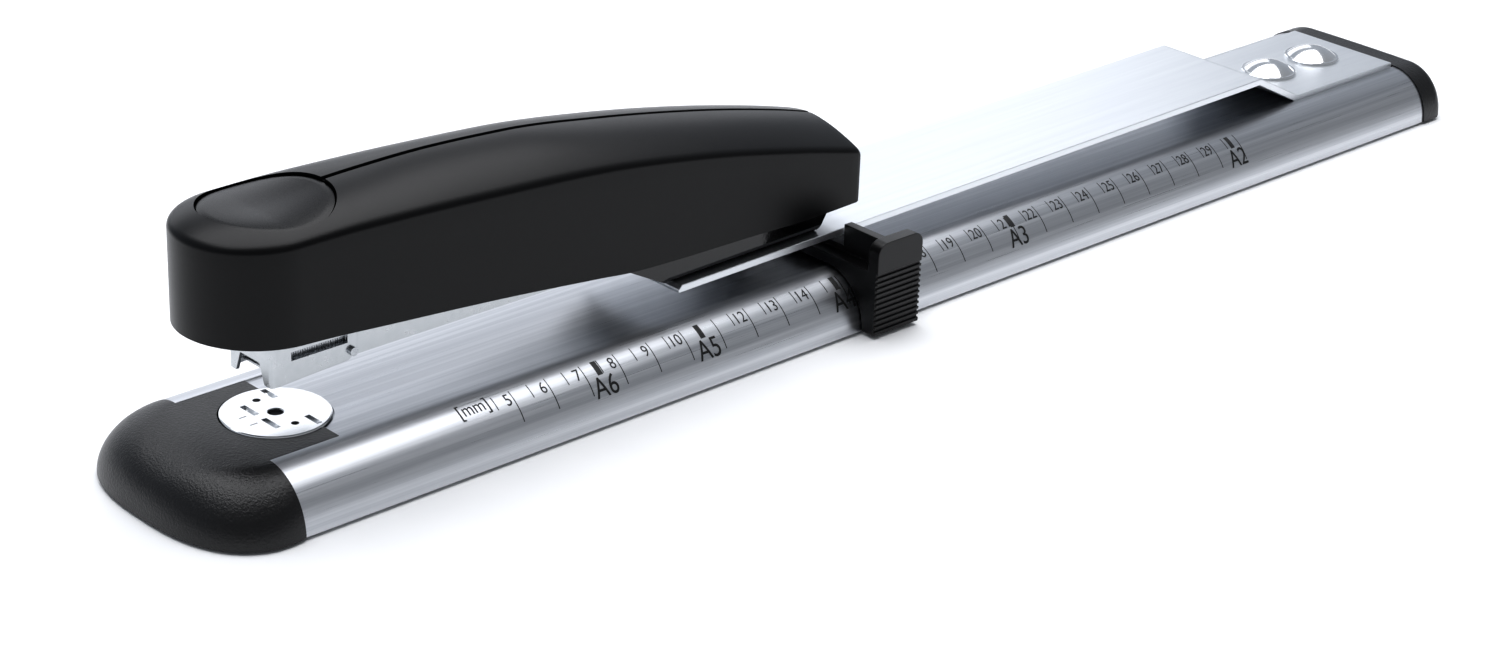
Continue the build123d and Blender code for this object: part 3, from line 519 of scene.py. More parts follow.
# Galvanised staple wire: bright and slightly uneven.
STAPLE_WIRE = PlatedMetal("galvanised_staple_wire", "#cdd0d4", "#a9adb2", 0.26, 0.07, 1.0, 0.003)
# Black ABS of the handle's cover with a fine eroded grain: deep black sides, a soft blue-grey sheen on top. The
# real grain is about 0.15 mm; it is drawn at 0.5 mm so that it shows.
COVER_ABS = MouldedPlastic("abs_black_fine_grain", "#060607", "#030304", 0.33, 0.5, 0.006, 0.21)
# The same ABS on the thumb disc, polished a little by use.
PAD_ABS = MouldedPlastic("abs_black_thumb_disc", "#060607", "#040405", 0.30, 0.5, 0.004, 0.21)
# Black polypropylene of the end caps with a coarse leather-like grain, about 0.6 mm.
CAP_PLASTIC = MouldedPlastic("polypropylene_black_coarse_grain", "#08080a", "#040405", 0.34, 0.6, 0.07, 0.5, 1.49)
# Black polyamide of the depth stop: smooth, with a dull shine.
STOP_PLASTIC = MouldedPlastic("polyamide_black_satin", "#0c0c0d", "#070708", 0.34, 0.6, 0.004, 0.30)
# Acetal of the pusher: black and waxy.
PUSHER_PLASTIC = MouldedPlastic("acetal_black", "#121213", "#0b0b0c", 0.38, 0.6, 0.004, 0.4, 1.48)
# Soft rubber of the feet: matt, dark grey.
FOOT_RUBBER = MouldedPlastic("rubber_dark_grey", "#1c1c1d", "#131314", 0.8, 0.6, 0.02, 0.3, 1.52)
# Stoved black enamel of the hinge bracket: glossy, with orange peel about 2 mm wide that ripples its highlights.
BRACKET_ENAMEL = Lacquer("stoved_black_enamel", "#08080a", "#040405", 0.10, 2.2, 0.03)
# Screen-printing ink of the scale: flat black.
PRINT_INK = Lacquer("black_printing_ink", "#101011", "#060606", 0.45, 0.8, 0.002)


# ---------------------------------------------------------------- drafting
class Draft:
    """A mesh in the making, in the stapler's own millimetres."""

    def __init__(self, source: bpy.types.Mesh | None = None) -> None:
        """Starts empty, or from a mesh.

        Args:
            source: Mesh to copy.
        """
        self.mesh = bmesh.new()
        if source is not None:
            self.mesh.from_mesh(source)

    def skin(self, rows: Sequence[Sequence[Point]], looped: bool = False) -> "Draft":
        """Adds quads between rows of points.

        Args:
            rows: Rows with the same number of points.
            looped: Whether each row closes on itself.

        Returns:
            This draft.
        """
        corners = [[self.mesh.verts.new(point) for point in row] for row in rows]
        count = len(rows[0])
        for lower, upper in zip(corners, corners[1:]):
            for i in range(count if looped else count - 1):
                j = (i + 1) % count
                self.mesh.faces.new((lower[i], lower[j], upper[j], upper[i]))
        return self

    def ladder(self, left: Sequence[Point], right: Sequence[Point]) -> "Draft":
        """Adds quads between two lines of points, as rungs between rails."""
        return self.skin([left, right])

    def prism(self, outline: Sequence[Spot], axis: Axis, low: float, high: float) -> "Draft":
        """Adds a closed outline drawn out along an axis.

        Args:
            outline: Points in the plane across the axis.
            axis: Direction of drawing out.
            low: Where it starts.
            high: Where it ends.

        Returns:
            This draft.
        """
        rings = []
        for level in (low, high):
            ring = []
            for first, second in outline:
                point = [first, second]
                point.insert(axis.value, level)
                ring.append(self.mesh.verts.new(point))
            rings.append(ring)
            self.mesh.faces.new(ring)
        for i in range(len(outline)):
            j = (i + 1) % len(outline)
            self.mesh.faces.new((rings[0][i], rings[0][j], rings[1][j], rings[1][i]))
        return self

    def lathe(self, profile: Sequence[Spot], centre: Point, gaps: int = 64, axis: Axis = Axis.Z) -> "Draft":
        """Adds a turned shape.

        Args:
            profile: (radius, height) points, from the axis round to the axis.
            centre: Where the axis passes, and the level from which heights count.
            gaps: Number of faces round the axis.
            axis: Direction of the axis.

        Returns:
            This draft.
        """
        rows = []
        others = [i for i in range(3) if i != axis.value]
        for turn in steps(0, math.tau, gaps)[:-1]:
            row = []
            for radius, height in profile:
                point = [0.0, 0.0, 0.0]
                point[axis.value] = centre[axis.value] + height
                point[others[0]] = centre[others[0]] + radius * math.cos(turn)
                point[others[1]] = centre[others[1]] + radius * math.sin(turn)
                row.append(tuple(point))
            rows.append(row)
        return self.skin(rows + rows[:1])

    def take(self, other: "Draft") -> "Draft":
        """Adds another draft's faces to this one.

        Args:
            other: Draft whose faces are copied.

        Returns:
            This draft.
        """
        mesh = bpy.data.meshes.new("draft")
        other.mesh.to_mesh(mesh)
        self.mesh.from_mesh(mesh)
        bpy.data.meshes.remove(mesh)
        return self

    def weld(self, gap: float = 0.0005) -> "Draft":
        """Merges points that nearly meet and points every face outwards.

        Args:
            gap: Distance up to which points are merged.

        Returns:
            This draft.
        """
        bmesh.ops.remove_doubles(self.mesh, verts=self.mesh.verts, dist=gap)
        bmesh.ops.dissolve_degenerate(self.mesh, edges=self.mesh.edges, dist=gap)
        bmesh.ops.recalc_face_normals(self.mesh, faces=self.mesh.faces)
        return self

    def bend(self, move: Callable[[Vector], Vector]) -> "Draft":
        """Moves every point.

        Args:
            move: Gives the new place of a point.

        Returns:
            This draft.
        """
        for vert in self.mesh.verts:
            vert.co = move(vert.co)
        return self

    def changed(self, kind: str, partner: "Draft | None" = None, **settings: object) -> "Draft":
        """Runs one modifier and keeps its result.

        Args:
            kind: The modifier's type.
            partner: Draft that a boolean works with.
            **settings: The modifier's own properties.

        Returns:
            A new draft.
        """
        objects = []
        for draft in (self, partner):
            if draft is not None:
                mesh = bpy.data.meshes.new("draft")
                draft.mesh.to_mesh(mesh)
                objects.append(bpy.data.objects.new("draft", mesh))
                bpy.context.scene.collection.objects.link(objects[-1])
        step = objects[0].modifiers.new("step", kind)
        for key, value in settings.items():
            setattr(step, key, value)
        if partner is not None:
            step.object = objects[1]
        graph = bpy.context.evaluated_depsgraph_get()
        made = bpy.data.meshes.new_from_object(objects[0].evaluated_get(graph))
        result = Draft(made)
        for mesh in [obj.data for obj in objects] + [made]:
            bpy.data.meshes.remove(mesh)
        return result

    def joined(self, other: "Draft", how: Join) -> "Draft":
        """Combines two closed drafts.

        Args:
            other: The second draft.
            how: In which way they are combined.

        Returns:
            A new draft.
        """
        return self.weld().changed("BOOLEAN", other.weld(), operation=how.value, solver="EXACT")


@dataclass(frozen=True)
class Bench:
    """Places finished drafts in the frame, softens their edges and hands them over to their bodies."""

    staple_x: float
    crest_z: float

    @classmethod
    def from_frame(cls) -> "Bench":
        """Reads where the rail lies in the frame."""
        low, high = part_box("base_rail")
        return cls(low.x + STAPLE_INSET * MM, high.z)

    @cache
    def span(self, node: str) -> tuple[Vector, Vector]:
        """Measures a CAD node.

        Args:
            node: Its name.

        Returns:
            Lowest and highest corner of its box, in the stapler's own millimetres.
        """
        shift = Vector((self.staple_x, 0, self.crest_z))
        low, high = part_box(node)
        return (low - shift) / MM, (high - shift) / MM

    def set_down(self, draft: Draft, name: str, body: Body, slot: Slot, nodes: Sequence[str] = (),
                 edge_mm: float = 0.0, sharp: float = 32.0) -> bpy.types.Object:
        """Makes an object of a draft and gives it to a body.

        Args:
            draft: The finished shape.
            name: Name of the piece.
            body: Body that it rides on.
            slot: Material slot that its finish belongs to; not used.
            nodes: CAD nodes that it stands for.
            edge_mm: Width of the bevel on its sharp edges.
            sharp: Angle in degrees from which an edge counts as sharp.

        Returns:
            The object.
        """
        draft.weld()
        mesh = bpy.data.meshes.new(name)
        draft.mesh.to_mesh(mesh)
        mesh.transform(Matrix.Translation((self.staple_x, 0, self.crest_z)) @ Matrix.Scale(MM, 4))
        mesh.shade_smooth()
        mesh.set_sharp_from_angle(angle=math.radians(sharp))
        piece = bpy.data.objects.new(name, mesh)
        bpy.context.scene.collection.objects.link(piece)
        if edge_mm:
            bevel = piece.modifiers.new("edges", "BEVEL")
            bevel.width = edge_mm * MM
            bevel.segments = 2
            bevel.limit_method = "ANGLE"
            bevel.angle_limit = math.radians(sharp)
            bevel.harden_normals = True
        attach(piece, body.value)
        if nodes:
            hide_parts(*nodes)
        LOG.info("%s rides on %s", name, body.value)
        return piece

    def anvil_middle(self) -> float:
        """Where the anvil's axis stands along the stapler."""
        low, high = self.span("anvil_plate")
        return (low.x + high.x) / 2

    def anvil_seat(self, gap: float) -> Draft:
        """Makes the cutter for the round seat that the anvil lies in.

        Args:
            gap: Room left round the anvil.

        Returns:
            A disc that reaches out of the seat at its top.
        """
        low, high = self.span("anvil_plate")
        radius = high.y + gap
        outline = [(0, low.z), (radius, low.z), (radius, high.z + OVERRUN), (0, high.z + OVERRUN)]
        return Draft().lathe(outline, (self.anvil_middle(), 0, 0), 96)

    def traced(self, node: str) -> Draft:
        """Copies a CAD node's exact shape, with its facets joined up again.

        Args:
            node: Its name.

        Returns:
            The shape as a draft.
        """
        draft = Draft(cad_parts[node].data)
        shift = Vector((self.staple_x, 0, self.crest_z))
        draft.bend(lambda point: (point - shift) / MM)
        bmesh.ops.remove_doubles(draft.mesh, verts=draft.mesh.verts, dist=0.002)
        bmesh.ops.dissolve_limit(draft.mesh, angle_limit=math.radians(0.5), verts=draft.mesh.verts,
                                 edges=draft.mesh.edges)
        clean = Draft()
        draft.mesh.verts.index_update()
        corners = [clean.mesh.verts.new(vert.co) for vert in draft.mesh.verts]
        for face in draft.mesh.faces:
            clean.mesh.faces.new([corners[vert.index] for vert in face.verts])
        return clean


@dataclass
class SubAssembly:
    """Pieces that are built, dressed and named together."""

    bench: Bench
    pieces: dict[str, bpy.types.Object] = field(default_factory=dict, init=False)

    def build(self) -> None:
        """Makes the pieces."""
        raise NotImplementedError

    def dress(self) -> None:
        """Gives the pieces their finishes."""
        raise NotImplementedError

    def cover(self, names: Iterable[str], finish: Finish) -> None:
        """Gives a finish to new pieces or CAD nodes.

        Args:
            names: Names of pieces made here or of CAD nodes.
            finish: What they are made of.
        """
        for name in names:
            piece = self.pieces.get(name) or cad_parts[name]
            if piece.material_slots:
                for place in piece.material_slots:
                    place.material = finish.material()
            else:
                piece.data.materials.append(finish.material())
            LOG.info("%s is finished in %s", name, finish.name)


# ---------------------------------------------------------------- base
@dataclass
class Rail(SubAssembly):
    """Aluminium extrusion, open underneath, notched in front for the nose cap's tongue."""

    crest_half: float = 17.4
    strip_drop: float = 0.4
    wall: float = 1.8
    notch_gap: float = 0.2
    seat_gap: float = 0.3
    bead: float = 0.25

    def shoulders(self) -> OvalSide:
        """The outer shape of its two sides."""
        low, high = self.bench.span("base_rail")
        return OvalSide(self.crest_half, high.y - self.crest_half, high.z - low.z)

    def outline(self) -> list[Spot]:
        """Outline of the rail's end, outside and inside."""
        outer = self.shoulders()
        inner = OvalSide(self.crest_half, outer.reach - self.wall, outer.rise - self.wall)
        half = len(outer.across()) // 2
        left, right = outer.across()[:half], outer.across()[half:]
        drop = [(self.crest_half - self.bead, 0.0), (self.crest_half - 1.6 * self.bead, -self.strip_drop)]
        top = left + [(-y, z) for y, z in drop] + drop[::-1] + right
        lift = inner.rise - outer.rise
        hollow = [(y, z + lift) for y, z in inner.across()]
        return top + hollow[::-1]

    def build(self) -> None:
        """Draws the section out, then cuts the notch and the anvil's seat."""
        low, high = self.bench.span("base_rail")
        tongue = self.bench.span("front_end_cap")[1].x + self.notch_gap
        rail = Draft().prism(self.outline(), Axis.X, low.x, high.x)
        half = self.crest_half - self.notch_gap
        notch = [(-half, low.z), (half, low.z), (half, OVERRUN), (-half, OVERRUN)]
        rail = rail.joined(Draft().prism(notch, Axis.X, low.x - OVERRUN, tongue), Join.CUT)
        rail = rail.joined(self.bench.anvil_seat(self.seat_gap), Join.CUT)
        self.pieces["rail_extrusion"] = self.bench.set_down(
            rail, "rail_extrusion", Body.BASE, Slot.RAIL, ["base_rail"], 0.12)

    def dress(self) -> None:
        """Brushed aluminium."""
        self.cover(["rail_extrusion"], RAIL_ALUMINIUM)


@dataclass
class Scale(SubAssembly):
    """Depth scale printed on the rail's near shoulder: ticks, numbers and marks for half of each sheet size."""

    shoulders: OvalSide = field(default_factory=lambda: OvalSide(17.4, 12.0, 13.1))
    first: int = 5
    last: int = 29
    top: float = 4.3
    long_tick: float = 7.9
    short_tick: float = 3.6
    tick_width: float = 0.27
    digit_height: float = 3.0
    digit_base: float = 3.5
    digit_gap: float = 0.8
    mark_width: float = 1.5
    mark_length: float = 3.8
    label_height: float = 4.8
    label_base: float = 8.9
    labels: tuple[tuple[str, float], ...] = (("A6", 74.0), ("A5", 105.0), ("A4", 148.5), ("A3", 210.0), ("A2", 297.0))
    unprinted: tuple[int, ...] = (11, 15)
    unit_place: float = 39.5
    unit_height: float = 4.2
    squeeze: float = 0.86
    film: float = 0.04
    lift: float = 0.01

    def word(self, sheet: Draft, text: str, height: float, place: float, base: float, anchor: float) -> None:
        """Sets a word on the flat sheet.

        Args:
            sheet: Draft that takes the letters, x along the rail and y up the slope.
            text: The word.
            height: Height of its letters.
            place: Where it stands along the rail.
            base: Its base line, down the slope from the crest.
            anchor: Share of its width that lies in front of place.
        """
        curve = bpy.data.curves.new("lettering", "FONT")
        curve.body = text
        curve.resolution_u = 4
        holder = bpy.data.objects.new("lettering", curve)
        bpy.context.scene.collection.objects.link(holder)
        graph = bpy.context.evaluated_depsgraph_get()
        mesh = bpy.data.meshes.new_from_object(holder.evaluated_get(graph))
        xs = [vert.co.x for vert in mesh.vertices]
        ys = [vert.co.y for vert in mesh.vertices]
        size = height / (max(ys) - min(ys))
        width = (max(xs) - min(xs)) * size * self.squeeze
        for vert in mesh.vertices:
            vert.co = ((vert.co.x - min(xs)) * size * self.squeeze + place - anchor * width,
                       (vert.co.y - min(ys)) * size - base, 0)
        sheet.mesh.from_mesh(mesh)
        bpy.data.meshes.remove(mesh)
        bpy.data.curves.remove(curve)

    def stroke(self, sheet: Draft, place: float, width: float, length: float) -> None:
        """Sets a tick on the flat sheet.

        Args:
            sheet: Draft that takes the tick.
            place: Where it stands along the rail.
            width: Its width.
            length: Its length down the slope.
        """
        corners = [(place - width / 2, -self.top), (place + width / 2, -self.top),
                   (place + width / 2, -self.top - length), (place - width / 2, -self.top - length)]
        sheet.mesh.faces.new([sheet.mesh.verts.new((x, y, 0)) for x, y in corners])

    def wrapped(self, point: Vector) -> Vector:
        """Lays a point of the flat sheet on the near shoulder."""
        y, z = self.shoulders.spot(self.shoulders.turn_at(round(-point.y, 3)), self.lift)
        return Vector((point.x, -y, z))

    def typeset(self) -> Draft:
        """Sets the whole print on a flat sheet."""
        sheet = Draft()
        for number in range(self.first, self.last + 1):
            self.stroke(sheet, 10 * number - 5, self.tick_width, self.short_tick)
            self.stroke(sheet, 10 * number, self.tick_width, self.long_tick)
            if number not in self.unprinted:
                self.word(sheet, str(number), self.digit_height, 10 * number - self.digit_gap,
                          self.top + self.digit_base, 1.0)
        self.stroke(sheet, 10 * self.last + 5, self.tick_width, self.short_tick)
        self.stroke(sheet, 10 * self.last + 10, self.tick_width, self.long_tick)
        for text, place in self.labels:
            self.stroke(sheet, place, self.mark_width, self.mark_length)
            self.word(sheet, text, self.label_height, place, self.top + self.label_base, 0.5)
        self.word(sheet, "[mm]", self.unit_height, self.unit_place, self.top + self.digit_base, 0.5)
        return sheet

    def build(self) -> None:
        """Divides the flat print down the slope and lays it on the rail."""
        sheet = self.typeset()
        for level in steps(self.top, self.top + self.label_base, 18):
            geometry = list(sheet.mesh.verts) + list(sheet.mesh.edges) + list(sheet.mesh.faces)
            bmesh.ops.bisect_plane(sheet.mesh, geom=geometry, plane_co=(0, -level, 0), plane_no=(0, 1, 0))
        bmesh.ops.triangulate(sheet.mesh, faces=[face for face in sheet.mesh.faces if len(face.verts) > 4])
        sheet.bend(self.wrapped)
        for face in sheet.mesh.faces:
            if face.normal.y > 0:
                face.normal_flip()
        sheet = sheet.changed("SOLIDIFY", thickness=self.film, offset=1.0)
        self.pieces["scale_print"] = self.bench.set_down(
            sheet, "scale_print", Body.BASE, Slot.BRACKET_BLACK)

    def dress(self) -> None:
        """Black ink."""
        self.cover(["scale_print"], PRINT_INK)


@dataclass
class EndCaps(SubAssembly):
    """Rounded nose cap with its tongue under the anvil, bulged tail cap, and the rubber feet."""

    crest_half: float = 17.4
    rise: float = 13.1
    widest: float = 30.4
    joint_half: float = 29.6
    plan_power: float = 2.6
    side_power: float = 2.6
    crest_power: float = 1.6
    flare_share: float = 0.35
    nose_setback: float = 1.4
    tongue_half: float = 17.0
    tongue_depth: float = 4.4
    tongue_root: float = 0.4
    stem_bore: tuple[float, float] = (1.7, -12.0)
    shoulder_bore: tuple[float, float] = (2.9, -3.0)
    seat_gap: float = 0.3
    tail_round: tuple[float, float] = (2.8, 2.4)
    tail_bulge: float = 0.9
    tail_lift: float = 1.0
    tail_proud: float = 0.35

    def nose_row(self, share: float, length: float, joint: float) -> list[Point]:
        """One cross-section of the nose.

        Args:
            share: 0 at the rail, 1 at the tip.
            length: Length of the nose.
            joint: Where it meets the rail.

        Returns:
            Closed loop: over the top from left to right, then back along the floor.
        """
        narrow = max(0.0, 1 - share ** self.plan_power) ** (1 / self.plan_power)
        flare = self.joint_half + (self.widest - self.joint_half) * min(1.0, share / self.flare_share) ** 0.7
        half = flare * narrow
        height = self.rise * max(0.0, 1 - share ** self.side_power) ** (1 / self.side_power)
        crest = self.crest_half * (1 - share ** self.crest_power) * narrow
        side = OvalSide(crest, half - crest, height)
        drop = height - self.rise
        top = [(y, z + drop) for y, z in side.across()]
        x = joint - share * length
        upper = [(x, y, z) for y, z in top]
        return upper + [(x, y, -self.rise) for y, _ in reversed(top)]

    def nose(self) -> Draft:
        """The nose, its tongue, and the seat cut for the anvil."""
        low, high = self.bench.span("front_end_cap")
        joint = self.bench.span("base_rail")[0].x
        length = joint - low.x - self.nose_setback
        shares = [math.sin(turn) for turn in steps(0, math.pi / 2, 44)][:-1]
        rows = [self.nose_row(share, length, joint) for share in shares]
        nose = Draft().skin(rows, looped=True)
        for row in (rows[0], rows[-1]):
            half = len(row) // 2
            nose.ladder(row[:half], row[half:][::-1])
        tongue = [(-self.tongue_half, -self.tongue_depth), (self.tongue_half, -self.tongue_depth),
                  (self.tongue_half, 0.0), (-self.tongue_half, 0.0)]
        cap = nose.joined(Draft().prism(tongue, Axis.X, joint - self.tongue_root, high.x), Join.FUSE)
        cap = cap.joined(self.bench.anvil_seat(self.seat_gap), Join.CUT)
        for radius, foot in (self.stem_bore, self.shoulder_bore):
            bore = [(0, foot), (radius, foot), (radius, 0.0), (0, 0.0)]
            cap = cap.joined(Draft().lathe(bore, (self.bench.anvil_middle(), 0, 0), 32), Join.CUT)
        return cap

    def tail(self) -> Draft:
        """The tail: the rail's outline drawn out, bulged in plan and rounded over at its end."""
        high = self.bench.span("rear_end_cap")[1].x
        joint = self.bench.span("base_rail")[1].x
        low, top = self.bench.span("base_rail")
        side = OvalSide(self.crest_half, top.y - self.crest_half, top.z - low.z)
        rows = []
        run, sink = self.tail_round
        insets = [(0.0, 0.0)] + [(sink * (1 - math.cos(t)), run * math.sin(t)) for t in steps(0, math.pi / 2, 10)]
        for number, (inset, ahead) in enumerate(insets):
            shoulders = side.across(self.tail_proud - inset)
            half = len(shoulders) // 2
            crest = shoulders[half][1]
            flat = [(y, crest) for y in steps(-self.crest_half, self.crest_half, 16)[1:-1]]
            upper = shoulders[:half] + flat + shoulders[half:]
            floor = -self.rise + min(inset, self.tail_lift)
            squeeze = (crest - floor) / (crest + self.rise)
            raised = [(y, floor + (z + self.rise) * squeeze) for y, z in upper]
            row = []
            for y, z in raised + [(y, floor) for y, _ in reversed(upper)]:
                end = high - self.tail_bulge * (y / top.y) ** 2
                x = joint if number == 0 else end - run + ahead
                row.append((x, y, z))
            rows.append(row)
        tail = Draft().skin(rows, looped=True)
        for row in (rows[0], rows[-1]):
            half = len(row) // 2
            tail.ladder(row[:half], row[half:][::-1])
        return tail

    def build(self) -> None:
        """Makes both caps."""
        self.pieces["nose_cap"] = self.bench.set_down(
            self.nose(), "nose_cap", Body.BASE, Slot.GRAINED_PLASTIC, ["front_end_cap"], 0.25, 50.0)
        self.pieces["tail_cap"] = self.bench.set_down(
            self.tail(), "tail_cap", Body.BASE, Slot.GRAINED_PLASTIC, ["rear_end_cap"], 0.0, 50.0)

    def dress(self) -> None:
        """Coarse-grained plastic, rubber feet."""
        self.cover(["nose_cap", "tail_cap"], CAP_PLASTIC)
        self.cover(["feet"], FOOT_RUBBER)


@dataclass
class Anvil(SubAssembly):
    """Turning disc with two pairs of curved forming pits, and the stem and spring that carry it."""

    hole: float = 1.66
    pin_hole: float = 0.9
    pin_spread: float = 7.0
    rim: float = 0.35
    pit_width: float = 1.4
    pit_depth: float = 0.8
    sharp: float = 12.0
    pits: tuple[tuple[float, float, float], ...] = ((0.0, 1.2, 6.6), (8.0, 5.6, 10.4))
    dash: tuple[float, float] = (-4.0, -2.1)
    dash_place: float = 2.05
    dash_width: float = 0.4
    dash_depth: float = 0.12

    def build(self) -> None:
        """Turns the disc, then cuts its holes, pits and the two engraved dashes."""
        low, high = self.bench.span("anvil_plate")
        middle, radius = self.bench.anvil_middle(), high.y
        above = high.z + OVERRUN
        profile = [(self.hole, low.z), (radius - self.rim, low.z), (radius, low.z + self.rim),
                   (radius, high.z - self.rim), (radius - 0.3 * self.rim, high.z - 0.3 * self.rim),
                   (radius - self.rim, high.z), (self.hole + 0.2, high.z), (self.hole, high.z - 0.2),
                   (self.hole, low.z)]
        disc = Draft().lathe(profile, (middle, 0, 0), 128)
        for side in (-1, 1):
            hole = [(0, low.z - OVERRUN), (self.pin_hole, low.z - OVERRUN), (self.pin_hole, above), (0, above)]
            disc = disc.joined(Draft().lathe(hole, (middle, side * self.pin_spread, 0), 24), Join.CUT)
            for x, near, far in self.pits:
                length = far - near
                bow = (length ** 2 / 4 + self.pit_depth ** 2) / (2 * self.pit_depth)
                centre = (x - self.pit_width / 2, side * (near + far) / 2, high.z + bow - self.pit_depth)
                wheel = [(0, 0), (bow, 0), (bow, self.pit_width), (0, self.pit_width)]
                disc = disc.joined(Draft().lathe(wheel, centre, 96, Axis.X), Join.CUT)
            line = side * self.dash_place
            dash = [(self.dash[0], line - self.dash_width / 2), (self.dash[1], line - self.dash_width / 2),
                    (self.dash[1], line + self.dash_width / 2), (self.dash[0], line + self.dash_width / 2)]
            disc = disc.joined(Draft().prism(dash, Axis.Z, high.z - self.dash_depth, above), Join.CUT)
        self.pieces["anvil_disc"] = self.bench.set_down(
            disc, "anvil_disc", Body.ANVIL, Slot.ANVIL_CHROME, ["anvil_plate"], 0.05, self.sharp)

    def dress(self) -> None:
        """Hard chrome disc on a stem coloured near black as painted shade for the centre hole."""
        self.cover(["anvil_disc"], ANVIL_CHROME)
        # The stem's near-black colour is painted shade: it darkens the centre hole of the disc.
        self.cover(["anvil_stem"], STEM_STEEL_PAINTED_SHADE)
        self.cover(["anvil_spring"], SPRING_STEEL)


@dataclass
class Arm(SubAssembly):
    """Bent steel strip that carries the head over the rail, with its domed rivets and the enamelled bracket."""

    front_top: float = 7.7
    flange: float = 43.2
    riser: float = 17.4
    thickness: float = 1.8
    bend: float = 3.0
    front_chamfer: float = 1.0
    rim_height: float = 0.7
    rim_edge: float = 0.2
    dome_inset: float = 0.8
    shank: float = 2.5
    bracket_sheet: float = 1.2
    bracket_bend: float = 1.9
    bracket_nose_rise: float = 15.4
    bracket_nose_height: float = 3.0
    bracket_front: float = 0.5
    bracket_rear: float = 3.0
    bracket_base: float = 18.0
    bracket_lip: float = 9.5
    ear: float = 5.0

    def top_at(self, x: float) -> float:
        """Height of the strip's upper face."""
        low, high = self.bench.span("arm_plate")
        reach = high.x - self.flange - self.riser
        return self.front_top + (high.z - self.front_top) * (x - low.x) / (reach - low.x)

    def strip(self) -> Draft:
        """The strip, bent down at the rear to lie on the rail."""
        low, high = self.bench.span("arm_plate")
        flange_top = low.z + self.thickness
        flange_front = high.x - self.flange
        line = rounded([(low.x, self.front_top), (flange_front - self.riser, high.z),
                        (flange_front, flange_top), (high.x, flange_top)], self.bend)
        line[0] = (low.x, self.front_top - self.front_chamfer)
        line.insert(1, (low.x + self.front_chamfer, self.top_at(low.x + self.front_chamfer)))
        sheet = ribbon(line[1:], self.thickness)
        sheet[-1] = (low.x, sheet[-1][1])
        return Draft().prism(sheet + [line[0]], Axis.Y, low.y, high.y)

    def rivets(self) -> Draft:
        """Two turned rivets with a rim, a domed head and a shank through the rail."""
        low, high = self.bench.span("arm_rivets")
        radius = (high.y - low.y) / 2
        seat = self.bench.span("arm_plate")[0].z + self.thickness
        rim = seat + self.rim_height
        foot = radius - self.dome_inset
        height = high.z - rim
        ball = (foot ** 2 + height ** 2) / (2 * height)
        sweep = math.asin(foot / ball)
        dome = [(ball * math.sin(t), high.z - ball * (1 - math.cos(t))) for t in steps(0, sweep, 14)]
        edge = self.rim_edge
        profile = dome + [(radius - edge, rim), (radius, rim - edge), (radius, seat), (self.shank, seat),
                          (self.shank, low.z), (0, low.z)]
        pair = Draft()
        for x in (low.x + radius, high.x - radius):
            pair.take(Draft().lathe(profile, (x, 0, 0), 96))
        return pair

    def bracket(self) -> Draft:
        """Folded channel: rounded bends on the strip, a bevelled nose in front, round ears at the hinge pin."""
        low, high = self.bench.span("hinge_bracket")
        pin_low, pin_high = self.bench.span("hinge_pin")
        pin = (pin_low + pin_high) / 2
        radius = (pin_high.z - pin_low.z) / 2
        foot = [(-high.y, high.z), (-high.y, 0.0), (high.y, 0.0), (high.y, high.z)]
        fold = rounded(foot, self.bracket_bend, 8)
        channel = Draft().prism(ribbon(fold, -self.bracket_sheet), Axis.X, low.x, high.x)
        channel.bend(lambda point: Vector((point.x, point.y, point.z + self.top_at(point.x))))
        front = self.bench.span("arm_plate")[0].x
        ear = [(pin.x + self.ear * math.sin(t), pin.z + self.ear * math.cos(t)) for t in steps(0, math.pi / 2, 12)]
        side = ear + [(pin.x - self.bracket_rear, self.top_at(pin.x) - OVERRUN),
                      (front + self.bracket_front, self.top_at(front) - OVERRUN),
                      (low.x, self.bracket_nose_rise), (low.x, self.bracket_nose_rise + self.bracket_nose_height)]
        left, right = low.y - OVERRUN, high.y + OVERRUN
        channel = channel.joined(Draft().prism(side, Axis.Y, left, right), Join.COMMON)
        lip = self.bracket_lip
        window = [(-lip, 0.0), (lip, 0.0), (lip, pin.z), (-lip, pin.z)]
        channel = channel.joined(
            Draft().prism(window, Axis.X, low.x - OVERRUN, front + self.bracket_base), Join.CUT)
        hole = [(0, left), (radius, left), (radius, right), (0, right)]
        return channel.joined(Draft().lathe(hole, (pin.x, 0, pin.z), 48, Axis.Y), Join.CUT)

    def build(self) -> None:
        """Makes the strip, the rivets and the bracket."""
        self.pieces["arm_strip"] = self.bench.set_down(
            self.strip(), "arm_strip", Body.BASE, Slot.ARM_STEEL, ["arm_plate"], 0.22)
        self.pieces["domed_rivets"] = self.bench.set_down(
            self.rivets(), "domed_rivets", Body.BASE, Slot.RIVET_CHROME, ["arm_rivets"])
        self.pieces["bracket_channel"] = self.bench.set_down(
            self.bracket(), "bracket_channel", Body.BASE, Slot.BRACKET_BLACK, ["hinge_bracket"], 0.15)

    def dress(self) -> None:
        """Satin strip, chrome rivets, black enamel."""
        self.cover(["arm_strip"], ARM_STEEL)
        self.cover(["domed_rivets"], RIVET_CHROME)
        self.cover(["bracket_channel"], BRACKET_ENAMEL)
        self.cover(["rivet_washers", "bracket_rivets", "hinge_pin", "pin_clips"], SMALL_STEEL)
        self.cover(["lift_spring"], SPRING_STEEL)


